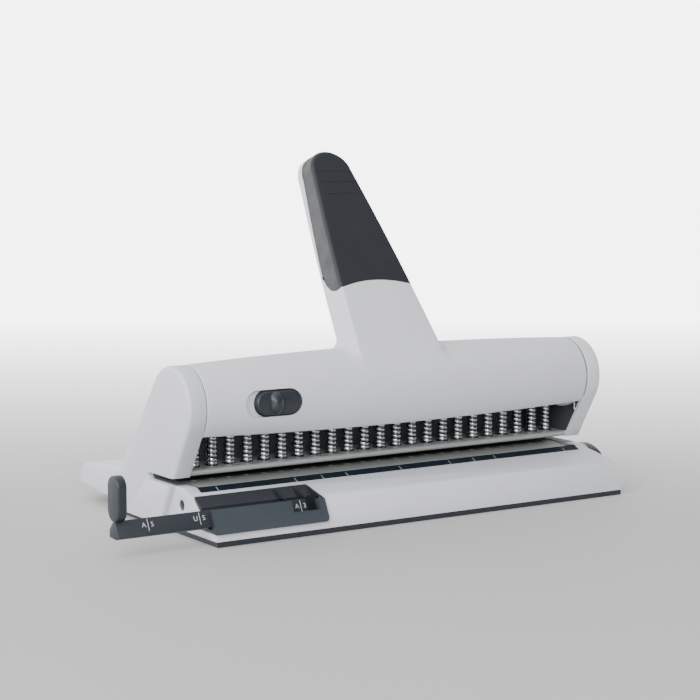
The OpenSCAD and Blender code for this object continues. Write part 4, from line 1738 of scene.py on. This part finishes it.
@dataclass
class StopUnit:
    """Paper stop: the trough in the apron, the ruler with its marks, and the paddle."""

    plan: Plan
    finishes: Finishes
    tilt: float = 27.0
    foot: Point2 = (-52.6, 11.0)
    face: float = 10.2
    thick: float = 3.0
    paddle: float = 5.6
    disc: Point2 = (26.0, 13.5)
    span: Point2 = (-149.4, -73.9)
    ruler_x: float = -207.5
    length: float = 123.5
    wall: float = 1.8
    front_wall: float = 3.8
    up: float = 8.6
    down: float = 6.3
    floor: Point2 = (7.5, 9.3)
    rear_wall: Point2 = (-41.0, -39.2)
    flange_low: float = 20.0
    flange_end: Point2 = (-33.0, 25.2)
    room: float = 0.4
    end_round: float = 4.0
    window: Point2 = (22.5, 4.5)
    ribs: Point2 = (24.5, 11.0)
    rib_t: float = 1.6
    block: float = 6.0
    block_z: Point2 = (14.5, 10.1)
    marks: tuple[tuple[str, float], ...] = (("A5", -187.7), ("US", -155.2), ("A3", -88.5))
    mark_size: float = 4.0
    mark_gap: float = 2.6

    def lean(self, out: float, along: float, start: Point2 | None = None) -> Point2:
        """Point that is given along the leaning ruler.

        Args:
            out: way out from the ruler's face to the rear.
            along: way up along the face.
            start: point that both are counted from, or None for the ruler's foot.

        Returns:
            The point in Y and Z.
        """
        start = start or self.foot
        t = math.radians(self.tilt)
        return (
            start[0] + out * math.cos(t) + along * math.sin(t),
            start[1] - out * math.sin(t) + along * math.cos(t),
        )

    def patch(self, near: Point2, far: Point2, start: Point2 | None = None) -> list[Point2]:
        """Leaning rectangle between two corners, each given as out and along from a start."""
        return [self.lean(*corner, start) for corner in rectangle(*near, *far)]

    def wall_at(self) -> Point2:
        """Foot of the trough's front wall, level with the ruler's lower edge."""
        return self.lean(-(self.front_wall + 0.5), 0.0)

    def outline(self) -> list[Point2]:
        """Outline of the whole trough.

        Returns:
            Corners in order.
        """
        low = self.lean(0, -self.down, self.wall_at())
        high = self.lean(0, self.up, self.wall_at())
        rear = self.rear_wall[1]
        return [
            low, high, self.flange_end, (self.flange_end[0], self.flange_end[1] - self.wall),
            (rear, self.flange_low - self.wall), (rear, self.floor[0]),
        ]

    def ruler_way(self) -> list[Point2]:
        """Outline that the ruler slides in, with room all round it."""
        room = self.room
        return self.patch((-room, -room), (self.thick + room, self.face + room))

    def round_end(self, trough: bpy.types.Object) -> None:
        """Round the trough's right end, less at its top than below.

        Args:
            trough: the trough as a plain bar.
        """
        Bench.take(trough)
        layer = trough.data.attributes.new("bevel_weight_edge", "FLOAT", "EDGE")
        points = trough.data.vertices
        for edge in trough.data.edges:
            a, b = (points[i].co / MM for i in edge.vertices)
            at_end = min(a.x, b.x) > self.span[1] - 0.01
            under = at_end and max(a.z, b.z) < self.floor[0] + 0.5
            crown = at_end and min(a.z, b.z) > self.floor[1] + 4
            layer.data[edge.index].value = 1.0 if under else 0.4 if crown else 0.0
        Bench.apply(
            trough, "BEVEL", width=self.end_round * MM, segments=6, limit_method="WEIGHT",
            use_clamp_overlap=True,
        )

    def hollow(self, trough: bpy.types.Object) -> None:
        """Cut the cavity, the window in the front wall and the ruler's slot.

        Args:
            trough: the trough with its round end.
        """
        wall, end, open_end = self.wall_at(), self.span[1], self.span[0] - 5
        inner_low = self.lean(self.front_wall, -3.0, wall)
        low_y = inner_low[0] + (self.floor[1] - inner_low[1]) * math.tan(math.radians(self.tilt))
        flange_y, flange_z = self.flange_end
        cavity = [
            (low_y, self.floor[1]), self.lean(self.front_wall, 40.0, wall), (flange_y + 2, 60.0),
            (flange_y + 2, flange_z + 1.02), self.flange_end,
            (self.rear_wall[0], self.flange_low), (self.rear_wall[0], self.floor[1]),
        ]
        Bench.cut(trough, Bench.along("cavity", cavity, open_end, end - self.wall))
        over = self.patch((-5, self.up), (self.front_wall + 1, 30), wall)
        Bench.cut(trough, Bench.along("over", over, open_end, end - self.wall))
        window = self.patch((-5, 1.5), (4.2, 20.0), wall)
        Bench.cut(trough, Bench.along("window", window, *(end - x for x in self.window)))
        Bench.round_edges(trough, 0.35, 2, 40)
        Bench.cut(trough, Bench.along("slot", self.ruler_way(), end - 5, end + 5))

    def build_ribs(self) -> list[bpy.types.Object]:
        """Model the ribs under the trough's flange.

        Returns:
            The ribs, one by one.
        """
        top = self.lean(0, self.face)
        corner = (top[0] - 0.7, top[1] + 0.7)
        outline = [self.flange_end, (self.rear_wall[0], self.flange_low), corner]
        ribs = []
        for place in (self.span[1] - x for x in self.ribs):
            ribs.append(Bench.along("rib", outline, place, place + self.rib_t))
            Bench.round_edges(ribs[-1], 0.25, 2)
        return ribs

    def paint_inside_shade(self, trough: bpy.types.Object) -> None:
        """Paint shade on the trough's inside: its inner faces get a darker material.

        Args:
            trough: the dressed trough.
        """
        t, wall = math.radians(self.tilt), self.wall_at()
        trough.data.materials.append(self.finishes.deep)
        for face in trough.data.polygons:
            x, y, z = face.center / MM
            behind = (y - wall[0]) * math.cos(t) - (z - wall[1]) * math.sin(t)
            if behind > self.front_wall - 0.2 and x < self.span[1] - self.wall + 0.05:
                face.material_index = 1

    def build_trough(self) -> None:
        """Model the trough, with a round right end, its window and its two ribs."""
        trough = Bench.along("trough", self.outline(), *self.span)
        self.round_end(trough)
        self.hollow(trough)
        Bench.join(trough, self.build_ribs())
        Bench.hand_over(
            trough, "stop_trough", Body.BASE, self.finishes.dark, "dark_plastic", ["stop_housing"]
        )
        self.paint_inside_shade(trough)

    def build_paddle(self) -> None:
        """Model the paddle with soft edges on its neck."""
        top, rear = self.lean(0, self.face), self.lean(self.thick, self.face)
        middle = (top[0] + 1.6, top[1] - 1 + self.disc[0] / 2)
        disc = [(middle[0] + b, middle[1] + a) for a, b in capsule(*self.disc, 24)]
        x0 = self.ruler_x + 0.1
        paddle = Bench.along("paddle", disc, x0, x0 + self.paddle)
        Bench.round_edges(paddle, 0.8, 4, 50)
        high = middle[1] - 5
        neck = Bench.along(
            "neck", [top, rear, (rear[0], high), (top[0], high)], x0 + 0.4, x0 + self.paddle - 0.4
        )
        Bench.round_edges(neck, 0.4, 2)
        Bench.join(paddle, [neck])
        Bench.hand_over(
            paddle, "paddle_skin", Body.STOP, self.finishes.stop, "dark_plastic", ["stop_paddle"]
        )

    def build_ruler(self) -> None:
        """Model the ruler with the block at its left end."""
        low, back, rear_top, top = self.patch((0, 0), (self.thick, self.face))
        rear = self.rear_wall[0] - 0.8
        foot = [low, top, rear_top, *((rear, z) for z in self.block_z), back]
        ruler = Bench.along("ruler", foot, self.ruler_x, self.ruler_x + self.length)
        spare = [rear_top, (rear + 5, rear_top[1] + 20), (rear + 5, back[1] - 20), back]
        start, past = self.ruler_x + self.block, self.ruler_x + self.length + 16.5
        Bench.cut(ruler, Bench.along("spare", spare, start, past))
        Bench.round_edges(ruler, 0.45, 3)
        Bench.hand_over(
            ruler, "ruler_skin", Body.STOP, self.finishes.stop, "dark_plastic", ["stop_ruler"]
        )

    def mark(self, text: str, x: float) -> bpy.types.Object:
        """One character of a paper size, laid on the ruler's face.

        Args:
            text: the character.
            x: place of its middle along the ruler.

        Returns:
            The character as a thin mesh.
        """
        Bench.clear()
        bpy.ops.object.text_add()
        obj = bpy.context.object
        obj.data.body = text
        obj.data.size = self.mark_size * MM
        obj.data.align_x, obj.data.align_y = "CENTER", "CENTER"
        obj.data.extrude = 0.03 * MM
        bpy.ops.object.convert(target="MESH")
        obj = bpy.context.object
        y, z = self.lean(-0.01, 5.9)
        turn = Matrix.Rotation(math.radians(90 - self.tilt), 4, "X")
        obj.data.transform(Matrix.Translation(Vector((x, y, z)) * MM) @ turn)
        return obj

    def build_marks(self) -> None:
        """Print the paper sizes on the ruler, each with a line."""
        pieces = []
        t = math.radians(self.tilt)
        depth = (0, 0.05 * math.cos(t), -0.05 * math.sin(t))
        for (first, second), x in self.marks:
            pieces += [self.mark(first, x - self.mark_gap), self.mark(second, x + self.mark_gap)]
            line = [(x - 0.2, *self.lean(-0.02, a)) for a in (2.2, 9.4)]
            line += [(x + 0.2, *self.lean(-0.02, a)) for a in (9.4, 2.2)]
            pieces.append(Bench.prism("line", line, depth))
        marks = Bench.join(pieces[0], pieces[1:])
        Bench.tidy(marks, 0.001)
        Bench.hand_over(marks, "ruler_marks", Body.STOP, self.finishes.ink, "scale_print")

    def build(self) -> None:
        """Model all pieces of the paper stop."""
        self.build_trough()
        self.build_paddle()
        self.build_ruler()
        self.build_marks()


@dataclass
class PunchRow:
    """Springs round the punches and the rings that they stand on."""

    plan: Plan
    finishes: Finishes
    radius: float = 2.7
    wire: float = 0.66
    turns: float = 5.1
    tall: float = 1.8
    dead: float = 0.9
    gap: float = 0.15
    stroke: float = 5.5

    def coil(self) -> list[Vector]:
        """Path of one spring, with a closed turn at each end.

        Returns:
            Points in millimetres.
        """
        low = self.plan.guide_top + self.gap + self.wire
        high = self.plan.head - self.gap - self.wire
        dead, rise = self.dead, 2 * self.wire
        total = self.turns + 2 * dead
        path = []
        steps = round(total * 18)
        for i in range(steps + 1):
            turn = total * i / steps
            if turn < dead:
                z = low + rise * turn / dead
            elif turn > total - dead:
                z = high - rise * (total - turn) / dead
            else:
                z = low + rise + (high - low - 2 * rise) * (turn - dead) / self.turns
            a = 2 * math.pi * turn - 1.2
            path.append(Vector((self.radius * math.cos(a), -self.radius * math.sin(a), z)))
        return path

    def build_springs(self) -> None:
        """Model one spring, copy it along the row and give the row a mesh of its own."""
        spring = Bench.tube("spring", self.coil(), self.wire, 8, self.tall)
        places = [(x, 0.0, 0.0) for x in self.plan.punch_places()]
        springs = Bench.row(spring, places)
        Bench.hand_over(
            springs, "spring_row", Body.BASE, self.finishes.bright, "chrome", ["punch_springs"], 60
        )
        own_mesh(springs)

    def build_rings(self) -> None:
        """Model the ring under one spring and copy it along the row."""
        profile = [(2.2, 0.0), (4.3, 0.0), (4.45, 0.12), (4.35, 0.3), (3.5, 0.42), (2.2, 0.1)]
        top = self.plan.guide_top

        def place(u: float, v: float) -> Point3:
            """Point on the ring's skin.

            Args:
                u: share round the punch.
                v: share round the profile.

            Returns:
                The point, in millimetres.
            """
            radius, rise = profile[round(v * len(profile)) % len(profile)]
            a = 2 * math.pi * u
            return (radius * math.cos(a), radius * math.sin(a), top + rise - 0.02)

        ring = Bench.sheet("ring", 28, len(profile), place)
        Bench.tidy(ring)
        rings = Bench.row(ring, [(x, 0.0, 0.0) for x in self.plan.punch_places()])
        Bench.hand_over(rings, "spring_rings", Body.BASE, self.finishes.bright, "chrome")

    def build(self) -> None:
        """Model the springs and their rings."""
        self.build_springs()
        self.build_rings()


@dataclass
class TrayEnd:
    """Domed end of the chip tray."""

    plan: Plan
    finishes: Finishes
    centre: Point2 = (-15.2, 3.0)
    radius: float = 24.8
    depth: float = 8.0
    edge: float = 2.4
    crown: float = 0.8
    gap: float = 0.4
    floor: float = 3.4

    def build(self) -> None:
        """Turn the profile, cut the disc at the tray's floor and soften the cut."""
        start = self.plan.outer + self.gap
        flat = self.radius - self.edge
        profile = [(0.0, 0.0), (self.radius, 0.0)]
        profile += arc((flat, self.depth - self.crown - self.edge), self.edge, 0, 80, 10)
        for share in (1 - i / 8 for i in range(1, 9)):
            profile.append((flat * share, self.depth - self.crown * share * share))

        def place(u: float, v: float) -> Point3:
            """Point on the turned skin.

            Args:
                u: share round the axis.
                v: share along the profile.

            Returns:
                The point, in millimetres.
            """
            r, x = profile[round(v * (len(profile) - 1))]
            a = 2 * math.pi * u
            return (start + x, self.centre[0] + r * math.cos(a), self.centre[1] + r * math.sin(a))

        cap = Bench.sheet("cap", 96, len(profile) - 1, place)
        Bench.tidy(cap)
        with Bench.editing(cap):
            bpy.ops.mesh.bisect(
                plane_co=(0, 0, self.floor * MM), plane_no=(0, 0, 1), use_fill=True,
                clear_inner=True,
            )
        Bench.round_edges(cap, 0.4, 2, 50)
        Bench.hand_over(
            cap, "tray_end", Body.TRAY, self.finishes.gloss, "gloss_dark", ["tray_cap"]
        )


@dataclass
class PlainNodes:
    """Solids that stay as they are and only get a finish and soft edges."""

    frame: dict[str, Any]
    finishes: Finishes
    edge: float = 0.25
    soft: tuple[str, ...] = (
        "base_plate", "scale_strip", "die_plate", "chip_tray", "rear_cover", "pressure_bar",
    )

    def build(self) -> None:
        """Dress every solid that no piece stands for."""
        f = self.finishes
        dress = {
            "base_plate": f.plate, "foot_pads": f.foot, "base_screws": f.bright,
            "scale_strip": f.strip, "rear_cover": f.light, "support_beam": f.dark,
            # The paper backstop gets shadow_black: painted shade behind the slot, under the guide
            # rail.
            "die_plate": f.table, "paper_backstop": f.gap, "punch_guide": f.rail,
            "back_plate": f.black, "guide_posts": f.steel, "left_bush": f.bronze,
            "right_bush": f.bronze, "axle": f.steel, "press_cams": f.steel, "drum_skirt": f.light,
            "lock_guide": f.light, "lock_bolt": f.steel, "pressure_bar": f.steel,
            "punch_pins": f.pin, "ruler_spring": f.steel, "chip_tray": f.dark,
        }
        for name, material in dress.items():
            obj = self.frame["nodes"][name]
            for slot in obj.material_slots:
                slot.material = material
            if name in self.soft:
                weld = obj.modifiers.new("Weld", "WELD")
                weld.merge_threshold = 0.002 * MM
                bevel = obj.modifiers.new("Bevel", "BEVEL")
                bevel.width, bevel.segments = self.edge * MM, 2
                bevel.limit_method, bevel.angle_limit = "ANGLE", math.radians(40)
            LOG.info("%s dressed", name)


@dataclass
class Studio:
    """Pale floor, soft light and the camera."""

    eye: Point3 = (-668.2, -997.2, 234.0)
    azimuth: float = -32.94
    elevation: float = 6.5
    lens: float = 99.75
    ahead: Point3 = (0.55, 0.83, 0.0)
    dome: Point2 = (0.2, 2.1)
    glow_from: Point3 = (-0.8, 0.5, 0.33)
    horizon: float = 6.0
    floor_tone: float = 0.4
    floor_fade: Point2 = (-150.0, 1200.0)

    def lamp(self, name: str, place: Point3, aim: Point3, size: float, power: float) -> None:
        """Add one soft lamp.

        Args:
            name: the lamp's name.
            place: where it hangs, in metres.
            aim: point that it looks at, in metres.
            size: width of its square face, in metres.
            power: its power in watts.
        """
        Bench.clear()
        bpy.ops.object.light_add(type="AREA", location=place)
        lamp = bpy.context.object
        lamp.name = name
        lamp.data.size, lamp.data.energy = size, power
        ahead = Vector(aim) - Vector(place)
        lamp.rotation_euler = ahead.to_track_quat("-Z", "Y").to_euler()

    def build_camera(self) -> None:
        """Set the camera at the photograph's angle."""
        Bench.clear()
        bpy.ops.object.camera_add(location=[c * MM for c in self.eye])
        camera = bpy.context.object
        a, e = math.radians(self.azimuth), math.radians(self.elevation)
        back = Vector((math.sin(a) * math.cos(e), -math.cos(a) * math.cos(e), math.sin(e)))
        camera.rotation_euler = back.to_track_quat("Z", "Y").to_euler()
        camera.data.lens, camera.data.sensor_width = self.lens, 36.0
        camera.data.clip_start = 0.05
        bpy.context.scene.camera = camera

    def build_floor(self) -> None:
        """Lay the pale floor, which glows far behind the punch."""
        Bench.clear()
        bpy.ops.mesh.primitive_plane_add(size=30.0, location=(0, 0, -0.0002))
        floor = bpy.context.object
        floor.name = "pale_floor"
        graph = Graph("pale_floor")
        cloud = graph.noise(graph.stretched(), 0.004, 2.0)
        pale = (self.floor_tone, self.floor_tone, self.floor_tone, 1.0)
        far = graph.axis("X") * self.ahead[0] + graph.axis("Y") * self.ahead[1]
        far = far.spread(*self.floor_fade)
        lit = self.horizon - 1.7 * self.floor_tone
        floor.data.materials.append(graph.surface(
            base_color=graph.mix(cloud, shade(pale, 0.98), shade(pale, 1.02)),
            roughness=0.7,
            emission_color=graph.mix(far * far, (0.0, 0.0, 0.0, 1.0), (lit, lit, lit, 1.0)),
            emission_strength=1.0,
        ))

    def build_light(self) -> None:
        """Light the punch with a soft sky and two lamps."""
        sky = Sky("studio")
        glow = sky.toward(self.glow_from).spread(-0.6, 0.6, self.dome[0], self.dome[1])
        low = abs(sky.toward((0.0, 0.0, 1.0))).spread(0.09, 0.16, self.horizon, 0.0)
        glow = glow.highest(low * sky.toward(self.ahead).spread(0.2, 0.7))
        bpy.context.scene.world = sky.surface(color=(1.0, 1.0, 1.0, 1.0), strength=glow)
        self.lamp("left_box", (-1.5, -0.6, 1.0), (0, 0, 0.08), 1.3, 22.0)
        self.lamp("front_box", (-0.9, -1.9, 0.75), (0, 0, 0.05), 0.9, 26.0)

    def build(self) -> None:
        """Set the camera, the floor and the light."""
        self.build_camera()
        self.build_floor()
        self.build_light()


def main(frame: dict[str, Any]) -> None:
    """Build every sub-assembly in order.
    """
    finishes, plan = Finishes(), Plan()
    Studio().build()
    stop = StopUnit(plan, finishes)
    for unit in (LeverUnit(plan, finishes), LockUnit(plan, finishes), Cheeks(plan, finishes)):
        unit.build()
        LOG.info("%s is done", type(unit).__name__)
    Apron(plan, finishes).build(stop)
    stop.build()
    PunchRow(plan, finishes).build()
    TrayEnd(plan, finishes).build()
    PlainNodes(frame, finishes).build()


if __name__ == "__main__":
    logging.basicConfig(level=logging.INFO, format="%(name)s: %(message)s")
    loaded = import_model()
    main(loaded)
